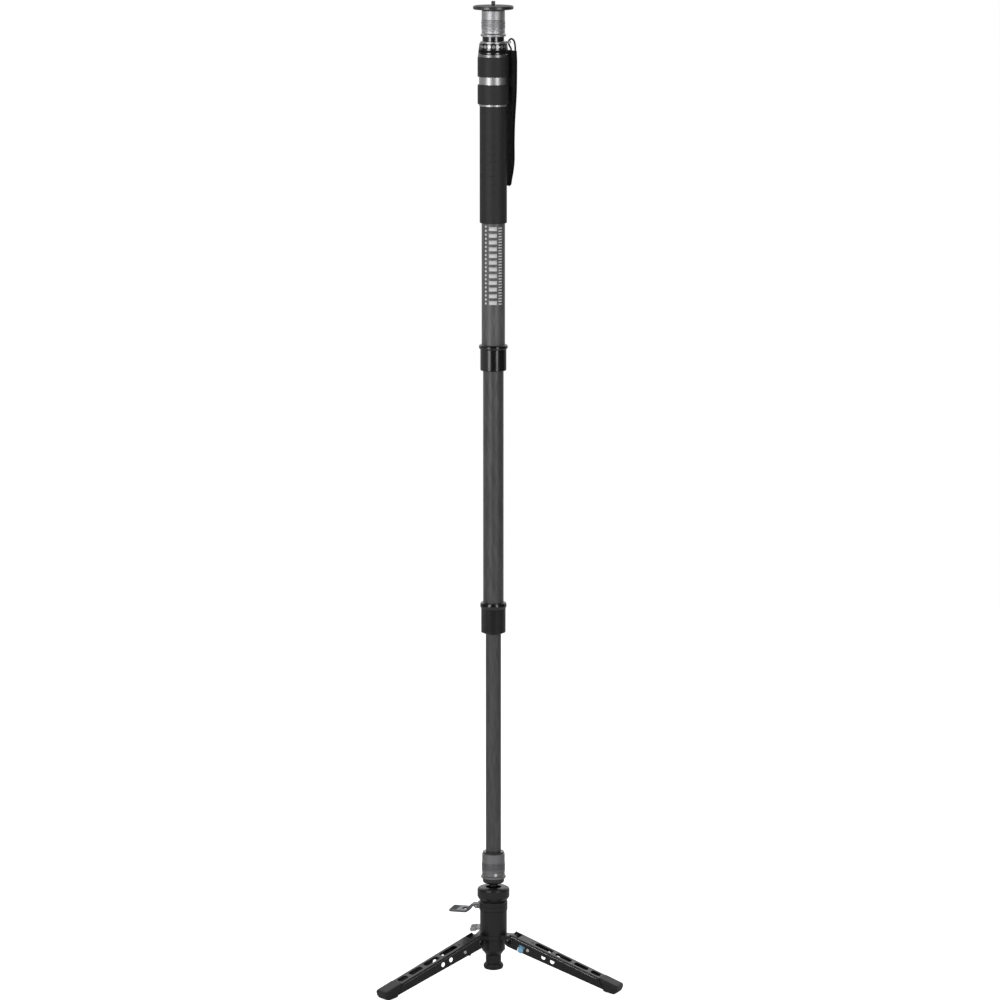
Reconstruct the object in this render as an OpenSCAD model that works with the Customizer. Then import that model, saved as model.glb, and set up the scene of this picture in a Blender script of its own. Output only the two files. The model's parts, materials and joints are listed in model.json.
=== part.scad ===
// Camera monopod: three folding legs, a ball joint in the hub, three telescopic tubes locked by
// a twist sleeve, two quick-release couplers and a camera plate.
// Millimetres, +Z up, origin on the column's axis at the floor. Every joint is drawn at rest:
// legs open, column upright and fully extended.

/* [Fits] */
// Radial clearance of shafts, slides and pins that move in their bores
run_fit = 0.05; // [0.02:0.01:0.08]
// Radial clearance of pieces that are glued or pressed together
seat_fit = 0.05; // [0.02:0.01:0.08]
// Gap between pieces that move past each other
move_gap = 0.3; // [0.2:0.05:0.5]

/* [Legs] */
// Length of a leg from its hinge to the nose of its rubber foot
leg_l = 181; // [160:0.5:210]
// Slope of an open leg below the horizontal, in degrees
leg_slope = 19.8; // [16:0.1:24]
// Turn of the set of legs about the column, in degrees
leg_turn = 6.2; // [0:0.1:12]
// Width across a leg channel
leg_w = 24; // [22:0.5:27]
// Sheet thickness of a leg channel
leg_t = 2; // [1.4:0.1:2.4]
// Height of a leg's top plate above its hinge line
leg_top = 10.5; // [10:0.1:12]
// Radius of a leg's round end about its hinge
leg_end_r = 8.5; // [8:0.1:9.2]
// Depth of a leg's walls below the hinge line, beside the hinge
leg_deep_in = 8.2; // [6.5:0.1:8.4]
// Depth of a leg's walls below the hinge line, at the rubber foot
leg_deep_out = 2.8; // [1:0.1:4]
// Length of the part of a leg that its rubber foot covers
foot_l = 33; // [26:0.5:40]
// Drop of a rubber foot's contact edge below the leg's hinge line
foot_drop = 2.3; // [1.5:0.1:4]
// Radius of a hinge bolt's shank
bolt_r = 3; // [2.5:0.1:3.5]
// Radius of a hinge bolt's head
bolt_head_r = 5.2; // [4.6:0.1:6]
// Radius of a latch's rivet pin
latch_pin_r = 2.5; // [2:0.1:3]
// Distance from a leg's hinge to its latch pin
latch_pin_x = 30.7; // [29:0.1:33]
// Radius of the two round windows in a leg's walls
window_r = 3.75; // [2.5:0.05:4.5]
// Width of the slots in a leg's top plate
slot_w = 12.6; // [8:0.1:14]

/* [Hub] */
// Radius of the hub's body
hub_r = 19.95; // [19:0.05:22]
// Height of the hub's body below its upper band
hub_h = 36; // [34:0.5:44]
// Height of the hub's upper band
band_h = 14; // [12:0.5:16]
// Height of the leg ring
ring_h = 7.5; // [7:0.1:9]
// Radius of the centre post
post_r = 17.3; // [16:0.1:18]
// Height of the centre post
post_h = 24; // [20:0.5:26]
// Radius of the centre foot's upper end
foot_r = 11.45; // [10:0.05:13]
// Height of the centre foot
foot_h = 22.7; // [17:0.1:23]
// Radius of the ball
ball_r = 13; // [12.6:0.1:14]
// Largest tilt of the column, in degrees
tilt_max = 18; // [10:1:18]
// Radius of the ball's stem
stem_r = 6.3; // [5:0.1:6.5]

/* [Pedals] */
// Direction of the upper pedal, in degrees from the front towards +X
pedal_up_az = -106; // [-112:0.5:-104]
// Reach of the upper pedal from the column's axis
pedal_up_reach = 65; // [60:0.2:70]
// Width of the upper pedal's plate
pedal_up_w = 32; // [26:0.5:36]
// Direction of the lower pedal, in degrees from the front towards +X
pedal_low_az = -112; // [-118:0.5:-108]
// Reach of the lower pedal from the column's axis
pedal_low_reach = 36.4; // [34:0.2:38]
// Width of the lower pedal's plate
pedal_low_w = 13; // [11:0.5:16]
// Thickness of both pedals
pedal_t = 3; // [2.4:0.1:3.4]

/* [Couplers] */
// Radius of a coupler's plug
plug_r = 11.45; // [11:0.05:12]
// Length of a coupler's plug
plug_l = 22; // [20:0.5:23]
// Radius of a lock ball
lock_r = 2.5; // [2.2:0.05:2.6]
// Number of lock balls in a coupler
lock_n = 6; // [4:1:8]
// Wall of the cage that holds the lock balls
cage_wall = 4.1; // [4:0.05:4.4]
// Length of a coupler's sleeve
coupler_l = 37.6; // [36:0.2:42]
// Wall of a coupler's sleeve round the cage
coupler_wall = 1.15; // [1.1:0.05:1.6]
// Travel of a coupler's sleeve when it is pulled down
coupler_travel = 3.5; // [3.2:0.1:3.8]

/* [Column] */
// Outer radius of the lower tube
low_r = 11.3; // [10.8:0.05:11.6]
// Wall of the three tubes
tube_t = 1.5; // [1:0.1:2]
// Length of the lower tube
low_l = 405; // [360:1:450]
// Length of the middle tube
mid_l = 444; // [400:1:480]
// Length of the upper tube
up_l = 415; // [390:1:450]
// Length of lower tube inside the middle one at full extension
low_lap = 59; // [55:0.5:70]
// Length of middle tube inside the upper one at full extension
up_lap = 45; // [42:0.5:60]
// Wall of the slide bush in the middle tube
bush_t = 2.1; // [1.6:0.1:2.6]
// Height of the middle tube's collar
mid_collar_h = 46.8; // [42:0.2:52]
// Height of the upper tube's collar
up_collar_h = 37.8; // [34:0.2:42]
// Size across the flats of the drive rod
rod_af = 8; // [7:0.1:8.4]
// Size across the flats of the drive tube
drive_af = 11; // [10.6:0.1:11.4]

/* [Grip and head] */
// Length of the rubber grip
grip_l = 169.3; // [140:0.1:180]
// Thickness of the rubber grip
grip_t = 2.7; // [1.5:0.1:3.5]
// Length of the twist sleeve
twist_l = 75.5; // [70:0.1:80]
// Wall of the twist sleeve
twist_t = 3.5; // [3:0.1:4]
// Thickness of the rubber bands on the twist sleeve
rubber_t = 2.2; // [1.5:0.1:2.6]
// Height of the head collar
head_collar_h = 15; // [13:0.1:18]
// Number of dimples round the head collar
dimple_n = 20; // [12:1:20]
// Thickness of the strap ring
strap_ring_h = 2.9; // [2.4:0.1:3.6]
// Width of the wrist strap's webbing
strap_w = 24; // [20:0.5:26]
// Diameter of the strap's cord
cord_d = 2.6; // [1.8:0.1:2.8]

/* [Camera plate] */
// Radius of the camera plate
plate_r = 29.2; // [26:0.1:32]
// Thickness of the camera plate
plate_t = 5; // [4:0.1:7]
// Radius of the camera stud, a quarter-inch thread
stud_r = 3.175; // [3.175:0.001:4.763]
// Length of the stud above the plate
stud_l = 7; // [5:0.1:10]

/* [Hidden] */
$fn = 96;

// Length by which a cut runs past the face it opens
over = 5;
// Small edge chamfer of turned pieces
chamfer = 0.7;

// Colours of the materials
black = [0.13, 0.13, 0.13];
rubber = [0.17, 0.17, 0.17];
carbon = [0.27, 0.27, 0.28];
grey = [0.62, 0.62, 0.63];
silver = [0.82, 0.82, 0.83];
blue = [0.5, 0.73, 0.88];
brass = [0.75, 0.65, 0.4];

// Leg, in its own frame: x along the leg from the hinge, y across it, z square to it and up
leg_n = 3;
foot_nose = 2.2;
foot_flat = 0.4;
foot_step = 2.6;
foot_lip = 0.9;
foot_tongue = 8;
foot_slant = 11.6;
leg_in = leg_w / 2 - leg_t;
leg_under = leg_top - leg_t;
foot_top_x = leg_l - foot_l;
foot_low_x = foot_top_x + foot_slant;
web_start = 9.5;
shoulder_x = -3;
deep_x = 12;
hinge_out = 11.55;
hinge_r = hub_r + hinge_out;
hinge_z = (leg_l - foot_nose) * sin(leg_slope) + foot_drop * cos(leg_slope);
lug_r = leg_end_r - 1;
lug_half = leg_in - move_gap;
lug_rise = lug_r + 0.3;
bolt_head_t = 1.8;
bolt_head_gap = 0.1;
bolt_half = leg_w / 2 + bolt_head_gap + bolt_head_t;
socket_af = 4;
socket_deep = 1.2;
window_z = 1.1;
window_first = 26.3;
window_pitch = 15.1;
window_x = [latch_pin_x + window_first, latch_pin_x + window_first + window_pitch];
slot_round = 3.5;
slot_gap = 6;
slot_lengths = [28.8, 25.7, 22.1, 15.4];
slot_first = latch_pin_x + 4.9;
dimple_web_r = 1.9;
dimple_web_h = 0.5;
pad_x = [latch_pin_x - 14.7, latch_pin_x - 6.2];
pad_z = [-leg_deep_in - 0.6, 0.4];
pad_proud = 0.9;
pad_lift = 2.2;
pad_swing = 1.4;
latch_half = leg_in - move_gap;
latch_z = [-3.2, 2.4];
latch_nose = leg_end_r + 0.6;
latch_boss_r = latch_pin_r + 1.7;
bump_r = 2;

// Hub stack, from the leg ring up to the ball
ring_r = hub_r - 1.35;
ring_z = hinge_z - 0.2;
hub_z = ring_z + ring_h;
band_z = hub_z + hub_h;
band_r = hub_r + 0.9;
hub_top = band_z + band_h;
neck_h = 7;
ball_z = hub_top + neck_h;
cup_wall = 2.45;
cup_r = ball_r + cup_wall;
cup_z = ball_z - 27;
neck_wall = 2;
neck_r = cup_r + run_fit + neck_wall;
ball_gap = 0.1;
trunnion_r = 2;
trunnion_half = cup_r - 0.5;
tilt_az = leg_turn;
pan_r = 5.95;
pan_z = cup_z - 22;
post_stud_r = 7;
lug_root = post_stud_r + 3;
lug_low = hinge_z + 1;
post_stud_h = 2;
post_taper_h = 7.5;
post_z = ring_z - post_h;
peg_r = 5.95;
peg_l = 10;
foot_gap = 0.3;
foot_flange_r = foot_r + 3.3;
groove = 0.4;

// Friction ring over the ball
drag_h = 14;
drag_skirt = 5.2;
drag_taper = 5;
drag_r = neck_r + 6.3;
drag_bore = drag_h * tan(tilt_max) + stem_r / cos(tilt_max) + 0.4;
drag_lip = 0.2;

// Pedals
ear_w = 3;
ear_half = 8.3;
ear_r = 3.3;
barrel_r = 2.6;
pedal_pin_r = 1.5;
ear_rise = 6.45;
pedal_up_z = band_z + ear_rise;
pedal_up_pivot = band_r + move_gap + barrel_r;
pedal_up_arm = ear_half - move_gap;
pedal_up_plate_l = 27.4;
pedal_up_drop = 8.5;
pedal_up_bend = 5;
pedal_up_ramp = 0.75;
pedal_round = 4;
pedal_hole = [8, 14];
pedal_low_droop = 13;
pedal_low_roll = 30;
pedal_low_neck = 5;
pedal_low_round = 2.5;
pedal_low_z = hub_z + 9.2;
pedal_low_pivot = hub_r - 4.45;
pedal_low_arm = 7;
pedal_low_plate_l = 10.5;
pedal_low_pin = 10.5;
pedal_low_slot = hub_r - 9.45;
pedal_low_slot_z = [-6.4, 4.6];

// Lower spigot and the couplers; a coupler's heights count from its spigot's shoulder
stem_l = 25;
spigot_cone_h = 3.5;
spigot_h = 5.1;
spigot_z = ball_z + 19;
low_shoulder = spigot_z + spigot_cone_h + spigot_h;
low_shoulder_r = 16;
up_shoulder_r = 15.7;
bore_r = plug_r + run_fit;
cage_r = bore_r + cage_wall;
cage_l = 18;
waist_r = bore_r + 1.9;
lock_z = 10.1;
lock_turn = 20;
lock_centre = cage_r - lock_r;
socket_deep_l = plug_l + 1;
coupler_r = cage_r + run_fit + coupler_wall;
coupler_z = 0.3;
coupler_flange_r = coupler_r + 1.5;
coupler_flange_h = 4.5;
coupler_bulge = 0.5;
coupler_bulge_z = [9.9, 23.5];
coupler_rings = [12.1, 17.1, 22.3];
coupler_ring_w = 2;
coupler_ring_deep = 0.35;
coupler_line_z = 8.7;
coupler_skirt = 5;
coupler_skirt_r = low_shoulder_r + 0.35;
coupler_top_l = 5.6;
coupler_top_bore = waist_r + 0.1;
release_r = plug_r + 2 * lock_r + 0.05;
release_z = [lock_z - coupler_z + coupler_travel - 2.1, lock_z - coupler_z + coupler_travel + 3.5];
stop_z = coupler_z + coupler_l + move_gap;
stop_r = cage_r - 0.1;
spring_gap = 0.1;
plug_chamfer = 1;

// Tube radii, from the lower tube outwards
low_in = low_r - tube_t;
mid_in = low_r + run_fit + bush_t + seat_fit;
mid_r = mid_in + tube_t;
nest_gap = 0.5;
up_in = mid_r + nest_gap;
up_r = up_in + tube_t;

// Tube heights, from the lower socket upwards
low_seat = socket_deep_l + 2.4;
low_z = low_shoulder + low_seat;
low_top = low_z + low_l;
low_socket_top = 2.2;
mid_z = low_top - low_lap;
mid_top = mid_z + mid_l;
up_z = mid_top - up_lap;
up_top = up_z + up_l;
mid_lip = 3;
mid_collar_z = mid_z - mid_lip;
mid_collar_r = mid_r + 3;
mid_flare = 1.4;
mid_flare_h = 9;
bush_stop = 3;
up_lip = 1.3;
up_bush_l = 10.5;
up_collar_z = up_z - up_lip - up_bush_l;
up_collar_r = up_r + 2;
up_bead = 2;
up_bead_h = 6.3;

// Drive inside the tubes
hex = 1 / (2 * cos(30));
hex_play = 0.3;
plug_in_l = 25;
flange_t = 3;
cam_l = 16;
cap_t = 2;
slit = 2;
lobe_r = 6;
rod_bore = rod_af + hex_play;
journal_mid = drive_af * hex + 0.15;
cam_mid_r = mid_in - 3.9;
lobe_mid = cam_mid_r + 1;
brake_mid = [lobe_mid + move_gap, up_in - 0.15];
drive_bore = drive_af + hex_play;
journal_low = drive_bore * hex + 1.4;
cam_low_r = journal_low + 0.5;
lobe_low = cam_low_r + 0.9;
brake_low = [lobe_low + move_gap, mid_in - 0.15];
rod_lap = 36;
drive_lap = 31;
cam_mid_z = mid_top + flange_t;
drive_top = cam_mid_z + cam_l + cap_t;
cam_low_z = low_top + flange_t;
cam_low_top = cam_low_z + cam_l + cap_t;

// Head
grip_drop = 41.7;
grip_gap = 0.2;
grip_z = up_top - grip_drop - grip_l;
grip_r = up_r + seat_fit + grip_t;
twist_z = grip_z + grip_l + grip_gap;
twist_bore = up_r + run_fit;
twist_r = twist_bore + twist_t;
rim_h = 4.2;
rim_r = twist_r + rubber_t - 0.6;
low_band_z = [2.9, 31.3];
up_band_z = [42.5, twist_l - rim_h - 0.1];
band_out = twist_r + rubber_t;
head_z = twist_z + twist_l + move_gap;
head_r = [band_out - 0.9, band_out - 2.6];
dimple_r = 2.6;
dimple_turn = 1;
dimple_deep = 0.55;
dimple_z = head_collar_h - 4.4;
core_tongue = 16;
core_bore = rod_af * hex + 0.15;
pin_r = 1.5;
pin_z = up_top + 16;
pin_swing = 90;
rod_end = 6;
strap_ring_z = head_z + head_collar_h + 0.1;
strap_ring_r = 18.9;
up_shoulder = head_z + head_collar_h + 9.6;
lug_hole_x = strap_ring_r + 3.4;
lug_hole_r = cord_d / 2 + 0.5;
lug_tip_r = 3.2;
strap_ring_mid = strap_ring_z + strap_ring_h / 2;

// Route of the strap's cord: x from the lug's hole, y behind it, z from the ring's middle
cord_route = [[9.4, -2.7, -12.5], [9.4, -2.7, -10], [9.3, -1.9, -6], [8.7, -0.6, -2], [7.6, 0, 1.6],
              [5.6, 0, 4],
              [3.4, 0, 4.6], [1.4, 0, 3.5], [0.2, 0, 1.6], [0, 0, 0], [0, 0, -2], [0.5, 1, -4.2],
              [1.9, 4.4, -7], [3.3, 7.9, -10], [3.3, 7.9, -12.5]];
cord_sides = 8;

// Wrist strap: a folded band whose plane stands beside the grip, turned away from the front
strap_turn = 30;
strap_clear = 0.8;
strap_layer = 2.2;
strap_slit = 0.6;
strap_t = 2 * strap_layer + strap_slit;
strap_fold = 4;
strap_top = strap_ring_mid - 12.5;
strap_in = band_out + strap_clear;
// Height below the strap's top and place of its outer edge along the band
strap_edge = [[0, 19.4], [12, 20.6], [28, 20.4], [62, 18.4], [100, 13.6], [130, 12.4], [158, 13.2],
              [174, 10.6], [187, 6.4], [197, 3.6]];

// Camera plate
plate_z = up_shoulder + stop_z + 0.9;
plate_top = plate_z + plate_t;
pad_deep = 1;
pad_rise = 0.3;
pad_r = [8, plate_r - 1.5];
stud_bury = 18;
shank_r = stud_r + 0.8;

// Helpers

// Solid of revolution of a list of [radius, height] points
module turned(points) {
    rotate_extrude() polygon(points);
}

// Hollow cylinder between two heights
module pipe(outer, inner, from, to) {
    rotate_extrude() translate([inner, from]) square([outer - inner, to - from]);
}

// Solid cylinder between two heights
module rod(radius, from, to) {
    translate([0, 0, from]) cylinder(r = radius, h = to - from);
}

// Hexagonal bar between two heights
module hex_bar(flats, from, to) {
    translate([0, 0, from]) cylinder(r = flats * hex, h = to - from, $fn = 6);
}

// Cylinder across the leg or pedal frame, centred on it
module cross_bar(radius, half) {
    rotate([90, 0, 0]) cylinder(r = radius, h = 2 * half, center = true);
}

// Plate outline extruded across the frame, from one side to the other
module across(from, to) {
    translate([0, to, 0]) rotate([90, 0, 0]) linear_extrude(to - from) children();
}

// Rectangle with round corners, centred
module rounded(length, width, corner) {
    square([length - 2 * corner, width], center = true);
    square([length, width - 2 * corner], center = true);
    for (sx = [-1, 1], sy = [-1, 1])
        translate([sx * (length / 2 - corner), sy * (width / 2 - corner)]) circle(r = corner, $fn = 32);
}

// Moves a shape to a direction about the column: x out from the axis
module facing(az) {
    rotate([0, 0, az - 90]) children();
}

function leg_az(i) = -60 + 360 / leg_n * i + leg_turn;

// Moves a shape from the leg's own frame to leg i
module in_leg(i) {
    facing(leg_az(i)) translate([hinge_r, 0, hinge_z]) rotate([0, leg_slope, 0]) children();
}

// Legs

// Side view of a leg's channel
module leg_side() {
    circle(r = leg_end_r);
    polygon([[-leg_end_r, 0], [shoulder_x, leg_top], [foot_top_x, leg_top], [foot_low_x, -leg_deep_out],
             [deep_x, -leg_deep_in], [0, -leg_end_r]]);
}

function slot_start(k) = k == 0 ? slot_first : slot_start(k - 1) + slot_lengths[k - 1] + slot_gap;

module leg_slots() {
    for (k = [0 : len(slot_lengths) - 1])
        translate([slot_start(k) + slot_lengths[k] / 2, 0, leg_under - over])
            linear_extrude(leg_t + 2 * over) rounded(slot_lengths[k], slot_w, slot_round);
}

// Cut-out in the lower edge of the wall beside the latch's pad
module latch_notch() {
    translate([pad_x[0] - pad_swing, -leg_w, -leg_w])
        cube([pad_x[1] - pad_x[0] + pad_swing + move_gap, leg_w - leg_in / 2, leg_w + pad_z[1] + pad_lift]);
}

module leg_channel() {
    difference() {
        across(-leg_w / 2, leg_w / 2) leg_side();
        translate([-leg_l, -leg_in, -leg_l]) cube([2 * leg_l, 2 * leg_in, leg_l + leg_under]);
        translate([web_start - leg_l, -leg_in, 0]) cube([leg_l, 2 * leg_in, leg_w]);
        cross_bar(bolt_r + run_fit, leg_w);
        translate([latch_pin_x, 0, 0]) cross_bar(latch_pin_r + seat_fit, leg_w);
        for (x = window_x) translate([x, 0, window_z]) cross_bar(window_r, leg_w);
        leg_slots();
        latch_notch();
    }
    translate([latch_pin_x, 0, leg_top]) cylinder(r = dimple_web_r, h = dimple_web_h);
    translate([pad_x[1], leg_in, -leg_deep_in + bump_r / 2])
        rotate([-90, 0, 0]) cylinder(r = bump_r, h = leg_t + dimple_web_h);
}

module leg_channel_a() { color(black) in_leg(0) leg_channel(); }
module leg_channel_b() { color(black) in_leg(1) leg_channel(); }
module leg_channel_c() { color(black) in_leg(2) leg_channel(); }

// Rubber foot: a boot over the leg's end with a tongue inside the channel
module leg_foot() {
    top = leg_top + foot_lip;
    boot = [[foot_top_x, top], [leg_l - 4, top], [leg_l - 1.4, top - 0.8], [leg_l - 0.4, top - 3],
            [leg_l, leg_top * 0.3], [leg_l - 0.8, 0], [leg_l - foot_nose, -foot_drop - foot_flat],
            [foot_low_x + 2.6, -leg_deep_out - foot_step],
            [foot_low_x + 1, -leg_deep_out - foot_step + 0.6],
            [foot_low_x, -leg_deep_out]];
    across(-leg_w / 2 - foot_lip, leg_w / 2 + foot_lip) polygon(boot);
    slant = foot_slant / (leg_top + leg_deep_out);
    tongue_top = leg_under - seat_fit;
    tongue_x = foot_top_x + slant * (leg_top - tongue_top);
    across(-leg_in + seat_fit, leg_in - seat_fit)
        polygon([[tongue_x, tongue_top], [foot_low_x, -leg_deep_out],
                 [foot_low_x - foot_tongue, -leg_deep_out],
                 [tongue_x - foot_tongue / 2, tongue_top]]);
}

module leg_foot_at(i) {
    difference() {
        in_leg(i) leg_foot();
        translate([-2 * leg_l, -2 * leg_l, -leg_l]) cube([4 * leg_l, 4 * leg_l, leg_l]);
    }
}

module leg_foot_a() { color(rubber) leg_foot_at(0); }
module leg_foot_b() { color(rubber) leg_foot_at(1); }
module leg_foot_c() { color(rubber) leg_foot_at(2); }

// Latch lever on the rivet pin: its nose faces the hinge lug, its pad fills the wall's notch
module leg_latch() {
    difference() {
        union() {
            across(-latch_half, latch_half)
                polygon([[latch_nose, latch_z[0]], [latch_pin_x, latch_z[0]], [latch_pin_x, latch_z[1]],
                         [latch_nose + 3, latch_z[1]], [latch_nose, 0]]);
            translate([latch_pin_x, 0, 0]) cross_bar(latch_boss_r, latch_half);
            across(-leg_w / 2 - pad_proud, -latch_half + 2)
                polygon([[pad_x[0], pad_z[0] + 1.4], [pad_x[0] + 1.6, pad_z[0]], [pad_x[1] - 1.6, pad_z[0]],
                         [pad_x[1], pad_z[0] + 1.4], [pad_x[1], pad_z[1] - 3], [pad_x[1] - 3, pad_z[1]],
                         [pad_x[0] + 3, pad_z[1]], [pad_x[0], pad_z[1] - 3]]);
        }
        translate([latch_pin_x, 0, 0]) cross_bar(latch_pin_r + run_fit, leg_w);
    }
}

module leg_latch_a() { color(blue) in_leg(0) leg_latch(); }
module leg_latch_b() { color(blue) in_leg(1) leg_latch(); }
module leg_latch_c() { color(blue) in_leg(2) leg_latch(); }

// Rivet pin that carries the latch, with a low head on each wall
module leg_pin() {
    translate([latch_pin_x, 0, 0]) cross_bar(latch_pin_r, leg_w / 2 + 0.6);
}

module leg_pin_a() { color(silver) in_leg(0) leg_pin(); }
module leg_pin_b() { color(silver) in_leg(1) leg_pin(); }
module leg_pin_c() { color(silver) in_leg(2) leg_pin(); }

module hinge_bolts() {
    color(silver)
    for (i = [0 : leg_n - 1]) facing(leg_az(i)) translate([hinge_r, 0, hinge_z]) difference() {
        union() {
            cross_bar(bolt_r, bolt_half);
            for (side = [-1, 1]) translate([0, side * (bolt_half - bolt_head_t / 2), 0])
                cross_bar(bolt_head_r, bolt_head_t / 2);
        }
        for (side = [-1, 1]) translate([0, side * bolt_half, 0])
            rotate([90, 0, 0]) cylinder(r = socket_af * hex, h = 2 * socket_deep, center = true, $fn = 6);
    }
}

// Base

// Ring with the three hinge lugs, clamped between the hub and the centre post
module leg_ring() {
    color(black) difference() {
        union() {
            turned([[0, ring_z], [ring_r - chamfer, ring_z], [ring_r, ring_z + chamfer], [ring_r, hub_z],
                    [0, hub_z]]);
            for (i = [0 : leg_n - 1]) facing(leg_az(i)) {
                translate([hinge_r, 0, hinge_z]) cross_bar(lug_r, lug_half);
                translate([lug_root, -lug_half, lug_low])
                    cube([hinge_r - lug_root, 2 * lug_half, hinge_z + lug_rise - lug_low]);
            }
        }
        rod(post_stud_r + seat_fit, ring_z - over, hub_z + over);
        rod(hub_r + move_gap, hub_z, hub_z + over);
        for (i = [0 : leg_n - 1]) facing(leg_az(i))
            translate([hinge_r, 0, hinge_z]) cross_bar(bolt_r + seat_fit, leg_w);
    }
}

// Ears that carry the upper pedal's pin
module pedal_ears() {
    facing(pedal_up_az) for (side = [-1, 1]) translate([0, side * (ear_half + ear_w / 2), pedal_up_z]) {
        translate([pedal_up_pivot, 0, 0]) cross_bar(ear_r, ear_w / 2);
        translate([cup_r + neck_wall, -ear_w / 2, -ear_r])
            cube([pedal_up_pivot - cup_r - neck_wall, ear_w, 2 * ear_r]);
    }
}

module hub_body() {
    color(black) difference() {
        union() {
            turned([[0, hub_z], [hub_r - chamfer, hub_z], [hub_r, hub_z + chamfer],
                    [hub_r, band_z - 2 * groove],
                    [hub_r - groove, band_z - groove], [hub_r - groove, band_z], [band_r - groove, band_z],
                    [band_r, band_z + groove], [band_r, band_z + band_h / 2 - groove],
                    [band_r - groove, band_z + band_h / 2], [band_r, band_z + band_h / 2 + groove],
                    [band_r, hub_top - chamfer], [band_r - chamfer, hub_top], [neck_r, hub_top],
                    [neck_r, ball_z],
                    [0, ball_z]]);
            pedal_ears();
        }
        rod(cup_r + run_fit, cup_z, ball_z + over);
        rod(pan_r + run_fit, pan_z - 1, cup_z + over);
        rod(post_stud_r + seat_fit, hub_z - over, hub_z + post_stud_h + 0.1);
        facing(pedal_up_az) translate([pedal_up_pivot, 0, pedal_up_z])
            cross_bar(pedal_pin_r + seat_fit, leg_w);
        facing(pedal_low_az) {
            translate([pedal_low_slot, -pedal_low_arm - move_gap, pedal_low_z + pedal_low_slot_z[0]])
                cube([hub_r, 2 * (pedal_low_arm + move_gap), pedal_low_slot_z[1] - pedal_low_slot_z[0]]);
            translate([pedal_low_pivot, 0, pedal_low_z])
                cross_bar(pedal_pin_r + seat_fit, pedal_low_pin + seat_fit);
        }
    }
}

module pedal_pins() {
    color(silver) {
        facing(pedal_up_az) translate([pedal_up_pivot, 0, pedal_up_z])
            cross_bar(pedal_pin_r, ear_half + ear_w + 0.3);
        facing(pedal_low_az) translate([pedal_low_pivot, 0, pedal_low_z])
            cross_bar(pedal_pin_r, pedal_low_pin);
    }
}

// Upper pedal: barrel on its pin, arm, ramp and wide plate with an oval hole
module pedal_upper() {
    plate_x = pedal_up_reach - pedal_up_plate_l;
    bend_x = plate_x - pedal_up_bend;
    half = pedal_t / 2;
    low = pedal_up_drop + half;
    color(grey) facing(pedal_up_az) translate([0, 0, pedal_up_z]) difference() {
        union() {
            translate([pedal_up_pivot, 0, 0]) cross_bar(barrel_r, pedal_up_arm);
            across(-pedal_up_arm, pedal_up_arm)
                polygon([[pedal_up_pivot, half], [bend_x, half], [plate_x + half, half - pedal_up_drop],
                         [plate_x + pedal_round, half - pedal_up_drop], [plate_x + pedal_round, -low],
                         [plate_x - pedal_up_ramp, -low], [bend_x - pedal_up_ramp * 2, -half],
                         [pedal_up_pivot, -half]]);
            translate([plate_x + pedal_up_plate_l / 2, 0, -low])
                linear_extrude(pedal_t) rounded(pedal_up_plate_l, pedal_up_w, pedal_round);
        }
        translate([pedal_up_pivot, 0, 0]) cross_bar(pedal_pin_r + run_fit, leg_w);
        translate([plate_x + 2 + pedal_hole[0] / 2, 0, -low - over])
            linear_extrude(pedal_t + 2 * over)
                rounded(pedal_hole[0], pedal_hole[1], pedal_hole[0] / 2 - 0.2);
    }
}

// Lower pedal: a short plate rolled to one side, whose arm goes into the hub
module pedal_lower() {
    reach = (pedal_low_reach - pedal_low_pivot) / cos(pedal_low_droop);
    color(silver) facing(pedal_low_az) translate([pedal_low_pivot, 0, pedal_low_z])
        rotate([0, pedal_low_droop, 0]) difference() {
            union() {
                cross_bar(barrel_r, pedal_low_arm);
                rotate([-pedal_low_roll, 0, 0]) {
                    translate([0, -pedal_low_neck, -pedal_t / 2])
                        cube([reach - pedal_low_plate_l / 2, 2 * pedal_low_neck, pedal_t]);
                    translate([reach - pedal_low_plate_l / 2, 0, -pedal_t / 2]) linear_extrude(pedal_t)
                        rounded(pedal_low_plate_l, pedal_low_w, pedal_low_round);
                }
            }
            cross_bar(pedal_pin_r + run_fit, leg_w);
        }
}

// Post under the leg ring: a stud up into the hub and a peg down into the rubber foot
module centre_post() {
    color(black) turned([[0, post_z - peg_l], [peg_r, post_z - peg_l], [peg_r, post_z], [foot_r, post_z],
                         [post_r, post_z + post_taper_h], [post_r, ring_z - chamfer],
                         [post_r - chamfer, ring_z],
                         [post_stud_r, ring_z], [post_stud_r, hub_z + post_stud_h],
                         [0, hub_z + post_stud_h]]);
}

module centre_foot() {
    top = post_z - foot_gap;
    bottom = top - foot_h;
    color(rubber) turned([[0, bottom], [foot_r - 2.5, bottom], [foot_flange_r - 1.2, bottom + 1.6],
                          [foot_flange_r, bottom + 4.4], [foot_flange_r, bottom + 7],
                          [foot_flange_r - 0.8, bottom + 8.6],
                          [foot_r, bottom + 11], [foot_r, top], [peg_r + seat_fit, top],
                          [peg_r + seat_fit, post_z - peg_l - 0.1], [0, post_z - peg_l - 0.1]]);
}

// Cup that turns in the hub and carries the ball
module pan_cup() {
    color(grey) difference() {
        union() {
            rod(cup_r, cup_z + ball_gap, ball_z - ball_gap);
            rod(pan_r, pan_z, cup_z + over);
        }
        translate([0, 0, ball_z]) sphere(r = ball_r + ball_gap);
        facing(tilt_az) translate([0, 0, ball_z]) cross_bar(trunnion_r + ball_gap, cup_r + over);
    }
}

// Ball with its stem, and the trunnions that it tilts on in the cup's rim
module ball_stem() {
    color(silver) {
        translate([0, 0, ball_z]) sphere(r = ball_r);
        rod(stem_r, ball_z, ball_z + stem_l);
        facing(tilt_az) translate([0, 0, ball_z]) cross_bar(trunnion_r, trunnion_half);
    }
}

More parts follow.
